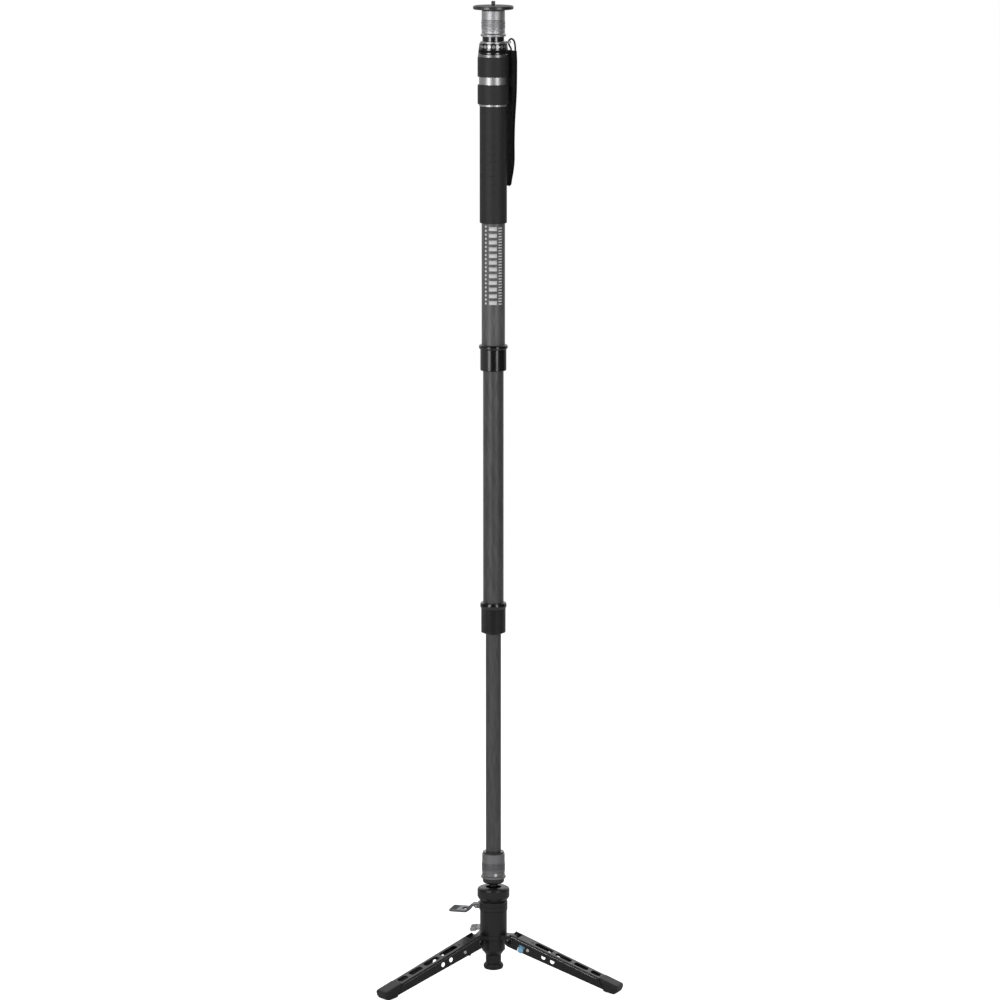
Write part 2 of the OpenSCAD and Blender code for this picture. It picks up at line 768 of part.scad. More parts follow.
// Ring that closes over the ball; it turns on the hub's neck
module friction_ring() {
    bottom = ball_z - drag_skirt;
    top = ball_z + drag_h;
    color(black) difference() {
        turned([[neck_r + run_fit, bottom], [drag_r - 3.4, bottom], [drag_r, bottom + drag_taper],
                [drag_r, top - 4],
                [drag_r - 0.8, top - 1.5], [drag_r - 3.4, top], [drag_bore, top],
                [drag_bore, ball_z + drag_lip],
                [neck_r + run_fit, ball_z + drag_lip]]);
        translate([0, 0, ball_z]) sphere(r = ball_r + ball_gap);
        rod(norm([trunnion_half, trunnion_r]) + move_gap, ball_z, ball_z + trunnion_r + move_gap);
    }
}

// Lower spigot, pressed on the ball's stem
module base_spigot() {
    color(black) difference() {
        union() {
            turned([[0, spigot_z], [stem_r + 3.7, spigot_z],
                    [low_shoulder_r - 1.4, spigot_z + spigot_cone_h / 2],
                    [low_shoulder_r, spigot_z + spigot_cone_h], [low_shoulder_r, low_shoulder],
                    [0, low_shoulder]]);
            coupler_plug(low_shoulder);
        }
        rod(stem_r + seat_fit, spigot_z - over, ball_z + stem_l + 0.1);
        lock_groove(low_shoulder);
    }
}

// Coupler: plug below, socket above, sleeve round the socket's cage

module coupler_plug(z) {
    turned([[0, z - over], [plug_r, z - over], [plug_r, z + plug_l - plug_chamfer],
            [plug_r - plug_chamfer, z + plug_l], [0, z + plug_l]]);
}

// Round groove that the lock balls drop into
module lock_groove(z) {
    translate([0, 0, z + lock_z]) rotate_extrude() translate([lock_centre, 0])
        circle(r = lock_r + run_fit, $fn = 48);
}

// Cage, waist and top flange of a socket whose shoulder is at height z
module socket_body(z, top) {
    turned([[0, z], [cage_r - 0.4, z], [cage_r, z + 0.4], [cage_r, z + cage_l], [waist_r, z + cage_l],
            [waist_r, z + stop_z], [stop_r, z + stop_z], [stop_r, z + stop_z + top],
            [0, z + stop_z + top]]);
}

// Bore for the plug and the radial holes of the lock balls
module socket_cuts(z) {
    rod(bore_r, z - over, z + socket_deep_l);
    for (k = [0 : lock_n - 1]) rotate([0, 0, 360 / lock_n * k + lock_turn])
        translate([bore_r / 2, 0, z + lock_z]) rotate([0, 90, 0])
            cylinder(r = lock_r + run_fit, h = coupler_r);
}

module lock_balls(z) {
    for (k = [0 : lock_n - 1]) rotate([0, 0, 360 / lock_n * k + lock_turn])
        translate([lock_centre, 0, z + lock_z]) sphere(r = lock_r);
}

// Outer outline of a sleeve, one ring groove after another
function ring_points(k) = let (r = coupler_r + coupler_bulge, h = coupler_ring_w / 2, z = coupler_rings[k])
    [[r, z - h], [r - coupler_ring_deep, z - h + 0.3], [r - coupler_ring_deep, z + h - 0.3], [r, z + h]];

module coupler_sleeve(z) {
    bore = cage_r + run_fit;
    top = coupler_l - coupler_top_l;
    outline = concat(
        [[coupler_skirt_r, 0], [coupler_flange_r - 0.5, 0], [coupler_flange_r, 0.5],
         [coupler_flange_r, coupler_flange_h - 1.5], [coupler_r, coupler_flange_h],
         [coupler_r, coupler_line_z - 0.5], [coupler_r - coupler_ring_deep, coupler_line_z],
         [coupler_r, coupler_line_z + 0.5], [coupler_r, coupler_bulge_z[0]],
         [coupler_r + coupler_bulge, coupler_bulge_z[0] + 0.6]],
        [for (k = [0 : len(coupler_rings) - 1]) each ring_points(k)],
        [[coupler_r, coupler_bulge_z[1] + 0.6], [coupler_r, coupler_l - 0.8], [coupler_r - 0.8, coupler_l],
         [coupler_top_bore, coupler_l], [coupler_top_bore, top], [bore, top],
         [bore, release_z[1] + 0.9], [release_r, release_z[1]], [release_r, release_z[0]],
         [bore, release_z[0] - 0.9], [bore, coupler_skirt], [coupler_skirt_r, coupler_skirt]]);
    translate([0, 0, z + coupler_z]) turned(outline);
}

// Spring space between the cage and the sleeve's inner flange
module coupler_spring(z) {
    pipe(cage_r - 0.2, waist_r + 0.2, z + cage_l + spring_gap,
         z + coupler_z + coupler_l - coupler_top_l - spring_gap);
}

module lower_socket() {
    color(black) difference() {
        socket_body(low_shoulder, low_socket_top);
        socket_cuts(low_shoulder);
        rod(low_r + seat_fit, low_z, low_z + low_l);
    }
}

module lower_sleeve() { color(grey) coupler_sleeve(low_shoulder); }
module lower_balls() { color(silver) lock_balls(low_shoulder); }
module lower_spring() { color(silver) coupler_spring(low_shoulder); }

module upper_socket() {
    color(black) difference() {
        socket_body(up_shoulder, plate_z - up_shoulder - stop_z);
        socket_cuts(up_shoulder);
        rod(shank_r + seat_fit, plate_top - stud_bury - 0.1, plate_top);
    }
}

module upper_sleeve() { color(grey) coupler_sleeve(up_shoulder); }
module upper_balls() { color(silver) lock_balls(up_shoulder); }
module upper_spring() { color(silver) coupler_spring(up_shoulder); }

// Column

module lower_tube() { color(carbon) pipe(low_r, low_in, low_z, low_top); }
module middle_tube() { color(carbon) pipe(mid_r, mid_in, mid_z, mid_top); }
module upper_tube() { color(carbon) pipe(up_r, up_in, up_z, up_top); }

// Plug with a bearing bore and a flange on the tube's end
module end_plug(inner, outer_flange, journal, top) {
    color(black) turned([[journal + run_fit, top - plug_in_l], [inner - seat_fit, top - plug_in_l],
                         [inner - seat_fit, top], [outer_flange, top], [outer_flange, top + flange_t],
                         [journal + run_fit, top + flange_t]]);
}

module lower_plug() { end_plug(low_in, mid_in - move_gap, journal_low, low_top); }
module middle_plug() { end_plug(mid_in, up_in - move_gap, journal_mid, mid_top); }

// Split ring that the cam spreads against the outer tube
module brake_ring(radii, from) {
    color(rubber) difference() {
        pipe(radii[1], radii[0], from, from + cam_l - move_gap);
        translate([0, -slit / 2, from - over]) cube([radii[1] + over, slit, cam_l + 2 * over]);
    }
}

module lower_brake() { brake_ring(brake_low, cam_low_z); }
module middle_brake() { brake_ring(brake_mid, cam_mid_z); }

// Round cam with two lobes and a cap that keeps the brake ring in place
module cam_head(radius, lobe, cap, from) {
    rod(radius, from + move_gap, from + cam_l + cap_t);
    for (side = [-1, 1]) translate([side * (lobe - lobe_r), 0, 0])
        rod(lobe_r, from + move_gap, from + cam_l);
    rod(cap, from + cam_l, from + cam_l + cap_t);
}

module lower_cam() {
    color(brass) difference() {
        union() {
            cam_head(cam_low_r, lobe_low, lobe_low + 1.2, cam_low_z);
            rod(journal_low, low_top - plug_in_l, cam_low_z + over);
        }
        hex_bar(drive_bore, low_top - plug_in_l - over, cam_low_top + over);
    }
}

module drive_tube() {
    color(grey) difference() {
        union() {
            cam_head(cam_mid_r, lobe_mid, lobe_mid + 1.4, cam_mid_z);
            rod(journal_mid, mid_top - plug_in_l, cam_mid_z + over);
            hex_bar(drive_af, cam_low_top - drive_lap, mid_top);
        }
        hex_bar(rod_bore, cam_low_top - drive_lap - over, drive_top + over);
    }
}

// Collar at the middle tube's lower end: a lip under the tube and a flare at the top
module middle_collar() {
    z = mid_collar_z;
    top = z + mid_collar_h;
    flare = top - mid_flare_h;
    color(black) turned([[low_r + move_gap, z], [low_r + 1.7, z], [mid_collar_r, z + 2.2],
                         [mid_collar_r, flare],
                         [mid_collar_r + mid_flare - 0.3, flare + 2.2],
                         [mid_collar_r + mid_flare, flare + 4.2],
                         [mid_collar_r + mid_flare - 0.3, flare + 6.2], [mid_collar_r + 0.4, flare + 8.2],
                         [mid_collar_r - 0.6, top], [mid_r + seat_fit, top], [mid_r + seat_fit, mid_z],
                         [low_r + move_gap, mid_z]]);
}

module middle_bush() {
    color(grey) pipe(mid_in - seat_fit, low_r + run_fit, mid_z, low_top - bush_stop);
}

// Collar at the upper tube's lower end, with a round bead at the top
module upper_collar() {
    z = up_collar_z;
    top = z + up_collar_h;
    bead = top - up_bead_h;
    color(black) turned([[mid_r + move_gap, z], [up_collar_r - chamfer, z], [up_collar_r, z + chamfer],
                         [up_collar_r, bead], [up_collar_r + up_bead * 0.7, bead + 0.6],
                         [up_collar_r + up_bead, bead + 2], [up_collar_r + up_bead, bead + 4.2],
                         [up_collar_r + up_bead * 0.7, bead + 5.6], [up_collar_r + 0.4, top],
                         [up_r + seat_fit, top],
                         [up_r + seat_fit, z + up_lip], [mid_r + move_gap, z + up_lip]]);
}

module upper_bush() {
    color(grey) pipe(up_r, mid_r + run_fit, up_collar_z + up_lip, up_z);
}

module grip() {
    color(rubber) turned([[up_r + seat_fit, grip_z], [grip_r - chamfer, grip_z], [grip_r, grip_z + chamfer],
                          [grip_r, grip_z + grip_l - chamfer], [grip_r - chamfer, grip_z + grip_l],
                          [up_r + seat_fit, grip_z + grip_l]]);
}

// Head

// Slots that let the twist pin swing: a sector on each side, and a bar at each end of the swing
module pin_slots() {
    room = pin_r + move_gap;
    for (start = [0, 180]) rotate([0, 0, start]) rotate_extrude(angle = pin_swing)
        translate([core_bore / 2, pin_z - room]) square([up_r, 2 * room]);
    for (turn = [0, pin_swing]) rotate([0, 0, turn]) translate([0, 0, pin_z])
        rotate([0, 90, 0]) cylinder(r = room, h = 4 * up_r, center = true);
}

// Core glued into the upper tube; its top is the upper spigot
module head_core() {
    neck = head_z + head_collar_h;
    color(black) difference() {
        union() {
            turned([[0, up_top - core_tongue], [up_in - seat_fit, up_top - core_tongue],
                    [up_in - seat_fit, up_top],
                    [up_r, up_top], [up_r, neck], [up_shoulder_r, neck], [up_shoulder_r, up_shoulder],
                    [0, up_shoulder]]);
            coupler_plug(up_shoulder);
        }
        rod(core_bore, up_top - core_tongue - over, pin_z + rod_end + 1);
        pin_slots();
        lock_groove(up_shoulder);
    }
}

// Cone above the twist sleeve with a row of round dimples
module head_collar() {
    top = head_z + head_collar_h;
    color(black) difference() {
        turned([[up_r + seat_fit, head_z], [head_r[0] - 0.4, head_z], [head_r[0], head_z + 0.4],
                [head_r[1], top - 0.4],
                [head_r[1] - 0.4, top], [up_r + seat_fit, top]]);
        for (k = [0 : dimple_n - 1]) rotate([0, 0, 360 / dimple_n * k - 90 + dimple_turn])
            translate([head_r[1] + 0.6 - dimple_deep, 0, head_z + dimple_z])
                rotate([0, 90, 0]) cylinder(r = dimple_r, h = over);
    }
}

module twist_sleeve() {
    color(silver) difference() {
        turned([[twist_bore, twist_z], [twist_r - 0.4, twist_z], [twist_r, twist_z + 0.4],
                [twist_r, twist_z + twist_l - rim_h], [rim_r, twist_z + twist_l - rim_h],
                [rim_r, twist_z + twist_l - 0.6], [rim_r - 0.6, twist_z + twist_l],
                [twist_bore, twist_z + twist_l]]);
        translate([0, 0, pin_z]) rotate([0, 90, 0])
            cylinder(r = pin_r + seat_fit, h = 4 * twist_r, center = true);
    }
}

// Rubber band round the twist sleeve
module rubber_band(heights) {
    color(rubber) turned([[twist_r + seat_fit, twist_z + heights[0]],
                          [band_out - chamfer, twist_z + heights[0]],
                          [band_out, twist_z + heights[0] + chamfer],
                          [band_out, twist_z + heights[1] - chamfer],
                          [band_out - chamfer, twist_z + heights[1]],
                          [twist_r + seat_fit, twist_z + heights[1]]]);
}

module upper_band() { rubber_band(up_band_z); }
module lower_band() { rubber_band(low_band_z); }

// Pin that joins the twist sleeve to the drive rod
module twist_pin() {
    color(silver) translate([0, 0, pin_z]) rotate([0, 90, 0])
        cylinder(r = pin_r, h = 2 * twist_r - 0.2, center = true);
}

module drive_rod() {
    color(grey) difference() {
        hex_bar(rod_af, drive_top - rod_lap, pin_z + rod_end);
        translate([0, 0, pin_z]) rotate([0, 90, 0])
            cylinder(r = pin_r + seat_fit, h = 4 * rod_af, center = true);
    }
}

// Swivel ring with a lug for the strap
module strap_ring() {
    top = strap_ring_z + strap_ring_h;
    color(silver) difference() {
        union() {
            turned([[up_shoulder_r + run_fit, strap_ring_z], [strap_ring_r, strap_ring_z],
                    [strap_ring_r, top - 0.6],
                    [strap_ring_r - 0.6, top], [up_shoulder_r + run_fit, top]]);
            translate([lug_hole_x, 0, strap_ring_z]) cylinder(r = lug_tip_r, h = strap_ring_h);
            translate([up_shoulder_r + 1, -lug_tip_r, strap_ring_z])
                cube([lug_hole_x - up_shoulder_r - 1, 2 * lug_tip_r, strap_ring_h]);
        }
        translate([lug_hole_x, 0, strap_ring_z - over])
            cylinder(r = lug_hole_r, h = strap_ring_h + 2 * over);
    }
}

function unit(v) = v / norm(v);
function along(path, i) = unit(path[min(i + 1, len(path) - 1)] - path[max(i - 1, 0)]);

// Ring of points round point i of a path, square to it
function cord_ring(path, i, radius) =
    let (t = along(path, i), n = unit(cross(t, [0, 1, 0])), b = cross(t, n))
    [for (k = [0 : cord_sides - 1]) let (a = 360 / cord_sides * k)
        path[i] + radius * (cos(a) * n + sin(a) * b)];

module strap_cord() {
    rings = len(cord_route);
    points = [for (i = [0 : rings - 1]) each cord_ring(cord_route, i, cord_d / 2)];
    sides = [for (i = [0 : rings - 2], k = [0 : cord_sides - 1])
        let (next = (k + 1) % cord_sides, a = i * cord_sides)
        each [[a + k, a + cord_sides + k, a + next],
              [a + next, a + cord_sides + k, a + cord_sides + next]]];
    first = [for (k = [1 : cord_sides - 2]) [0, k, k + 1]];
    end = (rings - 1) * cord_sides;
    last = [for (k = [1 : cord_sides - 2]) [end, end + k + 1, end + k]];
    color(black) translate([lug_hole_x, 0, strap_ring_mid]) polyhedron(points, concat(sides, first, last));
}

// Folded band of webbing: two layers with a slit between them, joined by the fold at the bottom
module wrist_strap() {
    outer = [for (p = strap_edge) [p[1], -p[0]]];
    inner = [for (k = [len(strap_edge) - 1 : -1 : 0]) [strap_edge[k][1] - strap_w, -strap_edge[k][0]]];
    deep = strap_edge[len(strap_edge) - 1][0];
    color(black) translate([0, 0, strap_top]) rotate([0, 0, strap_turn - 90]) difference() {
        across(strap_in, strap_in + strap_t) polygon(concat(outer, inner));
        translate([-strap_w, strap_in + strap_layer, strap_fold - deep])
            cube([3 * strap_w, strap_slit, deep]);
    }
}

// Camera plate

module camera_plate() {
    color(black) difference() {
        turned([[shank_r + seat_fit, plate_z], [plate_r - 1, plate_z], [plate_r, plate_z + 1],
                [plate_r, plate_top - 0.6], [plate_r - 0.6, plate_top], [shank_r + seat_fit, plate_top]]);
        pipe(pad_r[1], pad_r[0], plate_top - pad_deep, plate_top + over);
    }
}

module plate_pad() {
    color(rubber) pipe(pad_r[1] - seat_fit, pad_r[0] + seat_fit, plate_top - pad_deep,
                       plate_top + pad_rise);
}

// Stud with a wider shank buried in the plate and the socket
module camera_stud() {
    tip = plate_top + stud_l;
    color(silver) turned([[0, plate_top - stud_bury], [shank_r, plate_top - stud_bury],
                          [shank_r, plate_top],
                          [stud_r, plate_top], [stud_r, tip - 0.5], [stud_r - 0.5, tip], [0, tip]]);
}

hub_body();
leg_ring();
centre_post();
centre_foot();
hinge_bolts();
pedal_pins();
friction_ring();
pan_cup();
ball_stem();
base_spigot();
pedal_upper();
pedal_lower();
leg_channel_a();
leg_channel_b();
leg_channel_c();
leg_foot_a();
leg_foot_b();
leg_foot_c();
leg_latch_a();
leg_latch_b();
leg_latch_c();
leg_pin_a();
leg_pin_b();
leg_pin_c();
lower_socket();
lower_sleeve();
lower_balls();
lower_spring();
lower_tube();
lower_plug();
lower_brake();
lower_cam();
middle_tube();
middle_collar();
middle_bush();
middle_plug();
middle_brake();
drive_tube();
upper_tube();
upper_collar();
upper_bush();
grip();
head_core();
head_collar();
twist_sleeve();
upper_band();
lower_band();
twist_pin();
drive_rod();
strap_ring();
strap_cord();
wrist_strap();
upper_socket();
upper_sleeve();
upper_balls();
upper_spring();
camera_plate();
plate_pad();
camera_stud();
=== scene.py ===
import json
import math

import bmesh
import bpy
from mathutils import Matrix, Vector


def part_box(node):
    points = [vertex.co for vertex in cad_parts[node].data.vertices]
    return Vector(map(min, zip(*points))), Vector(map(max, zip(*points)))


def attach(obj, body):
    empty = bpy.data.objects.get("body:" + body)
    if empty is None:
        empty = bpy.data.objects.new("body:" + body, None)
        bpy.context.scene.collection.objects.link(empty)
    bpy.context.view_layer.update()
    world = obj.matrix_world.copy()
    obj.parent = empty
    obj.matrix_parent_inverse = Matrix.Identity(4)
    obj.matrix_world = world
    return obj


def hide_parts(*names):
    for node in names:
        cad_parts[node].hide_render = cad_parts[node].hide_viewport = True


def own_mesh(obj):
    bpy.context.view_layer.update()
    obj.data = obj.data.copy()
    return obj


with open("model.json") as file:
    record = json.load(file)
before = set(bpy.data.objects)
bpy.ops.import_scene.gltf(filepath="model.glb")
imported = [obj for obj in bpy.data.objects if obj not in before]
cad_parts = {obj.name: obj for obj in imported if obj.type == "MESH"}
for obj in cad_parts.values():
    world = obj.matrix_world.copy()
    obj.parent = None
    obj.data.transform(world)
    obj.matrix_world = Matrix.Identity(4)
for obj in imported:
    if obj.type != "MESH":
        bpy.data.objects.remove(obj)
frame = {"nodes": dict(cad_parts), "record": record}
nodes = frame["nodes"]
scene = bpy.context.scene
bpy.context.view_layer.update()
mm = 0.001  # the frame is in metres, sizes here are in millimetres

bodyOf = {}
for bodyName, members in frame["record"]["behaviour"]["bodies"].items():
    for member in members:
        bodyOf[member] = bodyName
jointOf = {joint["name"]: joint for joint in frame["record"]["behaviour"]["joints"]}
print("frame loaded:", len(nodes), "nodes")


# Camera and light

cameraView = {
    "eye": (9.7, -7331, 1922),  # millimetres
    "tiltDown": 9.30,  # degrees below the horizon
    "lens": 182.7,
    "sensor": 36,
}


def makeCamera():
    data = bpy.data.cameras.new("photoCamera")
    data.lens = cameraView["lens"]
    data.sensor_width = cameraView["sensor"]
    data.clip_end = 100
    camera = bpy.data.objects.new("photoCamera", data)
    camera.location = Vector(cameraView["eye"]) * mm
    camera.rotation_euler = (math.radians(90 - cameraView["tiltDown"]), 0, 0)
    scene.collection.objects.link(camera)
    scene.camera = camera


def linear(hexText):
    channels = [int(hexText[i:i + 2], 16) / 255 for i in (1, 3, 5)]
    bent = [c / 12.92 if c <= 0.04045 else ((c + 0.055) / 1.055) ** 2.4 for c in channels]
    return (*bent, 1.0)


def addNode(tree, kind, inputs=None, **settings):
    node = tree.nodes.new(kind)
    for name, value in settings.items():
        setattr(node, name, value)
    for socket, value in (inputs or {}).items():
        if isinstance(value, bpy.types.NodeSocket):
            tree.links.new(value, node.inputs[socket])
        else:
            node.inputs[socket].default_value = value
    return node


def mapEnds(span, low=0.0, high=1.0):
    # the ends of a span and of what it is carried over to
    return {"From Min": span[0], "From Max": span[1], "To Min": low, "To Max": high}


# sizes of the lamps in metres, power in watts, azimuth in degrees from the front towards +X
softboxes = {
    "left": {"azimuth": -36, "distance": 2.2, "width": 0.80, "low": 0.55, "high": 2.25, "power": 17},
    "right": {"azimuth": 33, "distance": 2.2, "width": 0.60, "low": 0.55, "high": 2.25, "power": 11.2},
}
topLight = {"height": 3.2, "back": 0.9, "size": 1.8, "power": 10, "aimHeight": 0.6}


def aimedAreaLight(name, place, target, width, height, power):
    data = bpy.data.lights.new(name, "AREA")
    data.shape = "RECTANGLE"
    data.size = width
    data.size_y = height
    data.energy = power
    lamp = bpy.data.objects.new(name, data)
    lamp.location = place
    lamp.rotation_euler = (Vector(target) - Vector(place)).to_track_quat("-Z", "Y").to_euler()
    lamp.visible_camera = False
    scene.collection.objects.link(lamp)


def makeLights():
    for name, box in softboxes.items():
        turn = math.radians(box["azimuth"])
        middle = (box["low"] + box["high"]) / 2
        place = (math.sin(turn) * box["distance"], -math.cos(turn) * box["distance"], middle)
        tall = box["high"] - box["low"]
        aimedAreaLight(name + "Softbox", place, (0, 0, middle), box["width"], tall, box["power"])
    over = (0, topLight["back"], topLight["height"])
    aim = (0, 0, topLight["aimHeight"])
    aimedAreaLight("overheadSoftbox", over, aim, topLight["size"], topLight["size"], topLight["power"])


surround = {
    # how bright each side of the studio is, and between which directions it changes
    "room": 0.05,
    "backdrop": 1.0,
    "backdropLow": 0.30,
    "backdropRise": (0.02, 0.14),
    "backdropEdge": (0.32, 0.60),
    "leftWall": 0.08,
    "leftWallLow": 0.8,
    "leftWallRise": (-0.17, -0.11),
    "leftWallEdge": (-0.55, -0.75),
}


def makeWorld():
    world = bpy.data.worlds.new("whiteStudio")
    scene.world = world
    world.use_nodes = True
    tree = world.node_tree
    tree.nodes.clear()
    ray = addNode(tree, "ShaderNodeLightPath").outputs["Is Camera Ray"]
    way = addNode(tree, "ShaderNodeTexCoord").outputs["Generated"]
    x, y, z = addNode(tree, "ShaderNodeSeparateXYZ", {0: way}).outputs
    # the part sees a white backdrop, dimmer near the floor, a wall on its left and a dim room in front
    rise = mapEnds(surround["backdropRise"], surround["backdropLow"], surround["backdrop"])
    sheet = addNode(tree, "ShaderNodeMapRange", {"Value": z, **rise}).outputs["Result"]
    edge = mapEnds(surround["backdropEdge"], surround["room"], sheet)
    backdrop = addNode(tree, "ShaderNodeMapRange", {"Value": y, **edge}, interpolation_type="SMOOTHSTEP")
    leftEdge = mapEnds(surround["leftWallEdge"])
    onLeft = addNode(tree, "ShaderNodeMapRange", {"Value": x, **leftEdge}, interpolation_type="SMOOTHSTEP")
    leftRise = mapEnds(surround["leftWallRise"], surround["leftWallLow"], surround["leftWall"])
    wall = addNode(tree, "ShaderNodeMapRange", {"Value": z, **leftRise})
    lit = addNode(tree, "ShaderNodeMath", {0: onLeft.outputs["Result"], 1: wall.outputs["Result"]},
                  operation="MULTIPLY")
    room = addNode(tree, "ShaderNodeMath", {0: backdrop.outputs["Result"], 1: lit.outputs[0]},
                   operation="MAXIMUM")
    shown = addNode(tree, "ShaderNodeMix", {"Factor": ray, "A": room.outputs[0], "B": 1.0})
    glow = addNode(tree, "ShaderNodeBackground", {"Color": (1, 1, 1, 1), "Strength": shown.outputs["Result"]})
    addNode(tree, "ShaderNodeOutputWorld", {"Surface": glow.outputs[0]})


floorLook = {"half": 3.0, "colour": "#f2f2f2", "cameraGlow": 0.92}


def makeFloor():
    half = floorLook["half"]
    corners = [(-half, -half, 0), (half, -half, 0), (half, half, 0), (-half, half, 0)]
    mesh = bpy.data.meshes.new("studioFloor")
    mesh.from_pydata(corners, [], [(0, 1, 2, 3)])
    floor = bpy.data.objects.new("studioFloor", mesh)
    scene.collection.objects.link(floor)
    paint = bpy.data.materials.new("paintedStudioFloor")
    paint.use_nodes = True
    tree = paint.node_tree
    tree.nodes.clear()
    matt = addNode(tree, "ShaderNodeBsdfDiffuse", {"Color": linear(floorLook["colour"])}).outputs[0]
    ray = addNode(tree, "ShaderNodeLightPath").outputs["Is Camera Ray"]
    level = addNode(tree, "ShaderNodeMath", {0: ray, 1: floorLook["cameraGlow"]}, operation="MULTIPLY")
    glow = addNode(tree, "ShaderNodeEmission", {"Color": (1, 1, 1, 1), "Strength": level.outputs[0]})
    both = addNode(tree, "ShaderNodeAddShader", {0: matt, 1: glow.outputs[0]}).outputs[0]
    addNode(tree, "ShaderNodeOutputMaterial", {"Surface": both})
    mesh.materials.append(paint)


# Materials

def perMm(size):
    return 1 / (size * mm)  # texture scale for a pattern of this size in millimetres


def newMaterial(name, finish):
    material = bpy.data.materials.new(name)
    material.use_nodes = True
    tree = material.node_tree
    shader = tree.nodes["Principled BSDF"]
    shader.inputs["Base Color"].default_value = linear(finish["colour"])
    shader.inputs["Roughness"].default_value = finish["roughness"]
    shader.inputs["Metallic"].default_value = finish.get("metallic", 0.0)
    shader.inputs["Specular IOR Level"].default_value = finish.get("gloss", 0.5)
    shader.inputs["IOR"].default_value = finish.get("ior", 1.5)
    shader.inputs["Coat Weight"].default_value = finish.get("coat", 0.0)
    shader.inputs["Coat Roughness"].default_value = finish.get("coatRoughness", 0.1)
    place = addNode(tree, "ShaderNodeTexCoord").outputs["Object"]
    return material, tree, shader, place


def link(tree, source, shader, socket):
    tree.links.new(source, shader.inputs[socket])


def tint(tree, shader, finish, factor):
    # a drift between the finish's two colours
    shade = addNode(tree, "ShaderNodeMix", {"Factor": factor, "A": linear(finish["colour"]),
                                            "B": linear(finish["colour2"])}, data_type="RGBA")
    link(tree, shade.outputs["Result"], shader, "Base Color")


def cloud(tree, shader, finish, place):
    # the same drift in soft clouds
    spots = {"Vector": place, "Scale": perMm(finish["cloudMm"]), "Detail": 3.0}
    tint(tree, shader, finish, addNode(tree, "ShaderNodeTexNoise", spots).outputs["Fac"])


def roughen(tree, shader, finish, value, span):
    middle, spread = finish["roughness"], finish["roughnessSpread"]
    ends = mapEnds(span, middle - spread, middle + spread)
    dulled = addNode(tree, "ShaderNodeMapRange", {"Value": value, **ends})
    link(tree, dulled.outputs["Result"], shader, "Roughness")


def emboss(tree, shader, height, strength, depth):
    relief = addNode(tree, "ShaderNodeBump", {"Height": height, "Strength": strength, "Distance": depth * mm})
    link(tree, relief.outputs["Normal"], shader, "Normal")


noiseSpan = (0.3, 0.7)  # most of a noise texture lies between these
grainDepth = 0.25  # a grain's depth as a share of its size
wavePeriod = math.tau / 20  # the wave texture's own period at scale 1


def mottled(name, finish):
    # colour, roughness and a fine bump that drift with two sizes of noise
    material, tree, shader, place = newMaterial(name, finish)
    spots = {"Vector": place, "Scale": perMm(finish["grainMm"]), "Detail": 4.0}
    grain = addNode(tree, "ShaderNodeTexNoise", spots).outputs["Fac"]
    cloud(tree, shader, finish, place)
    roughen(tree, shader, finish, grain, noiseSpan)
    emboss(tree, shader, grain, finish["bump"], finish["grainMm"] * grainDepth)
    return material


def turnedMetal(name, finish):
    # tool lines round the part's own axis, drawn coarse enough to show
    material, tree, shader, place = newMaterial(name, finish)
    lines = {"Vector": place, "Scale": perMm(finish["lineMm"]) / math.pi, "Distortion": finish["waver"],
             "Detail": 2.0, "Detail Scale": 2.0}
    rings = addNode(tree, "ShaderNodeTexWave", lines, wave_type="BANDS", bands_direction="Z").outputs["Fac"]
    cloud(tree, shader, finish, place)
    roughen(tree, shader, finish, rings, (0.0, 1.0))
    emboss(tree, shader, rings, finish["bump"], finish["depthMm"])
    return material


def carbonTube(name, finish):
    # rolled carbon sheet under a satin lacquer: long slanting streaks of fibre, two ways round the tube
    material, tree, shader, place = newMaterial(name, finish)
    height = addNode(tree, "ShaderNodeSeparateXYZ", {0: place}).outputs["Z"]
    stretch = (1, 1, finish["towMm"] / finish["streakMm"])
    streaks = []
    for side in (1, -1):
        angle = addNode(tree, "ShaderNodeMath", {0: height, 1: side * finish["twist"]}, operation="MULTIPLY")
        wound = addNode(tree, "ShaderNodeVectorRotate", {"Vector": place, "Angle": angle.outputs[0]},
                        rotation_type="Z_AXIS")
        drawn = addNode(tree, "ShaderNodeMapping", {"Vector": wound.outputs[0], "Scale": stretch,
                                                    "Location": (0, 0, finish["apart"] * side)})
        tows = {"Vector": drawn.outputs[0], "Scale": perMm(finish["towMm"]), "Detail": 4.0,
                "Roughness": finish["fray"]}
        streaks.append(addNode(tree, "ShaderNodeTexNoise", tows).outputs["Fac"])
    both = addNode(tree, "ShaderNodeMix", {"Factor": finish["secondWay"], "A": streaks[0], "B": streaks[1]})
    fibres = both.outputs["Result"]
    tone = addNode(tree, "ShaderNodeMapRange", {"Value": fibres, **mapEnds(finish["toneSpan"])})
    tint(tree, shader, finish, tone.outputs["Result"])
    roughen(tree, shader, finish, fibres, noiseSpan)
    emboss(tree, shader, fibres, finish["bump"], finish["depthMm"])
    return material


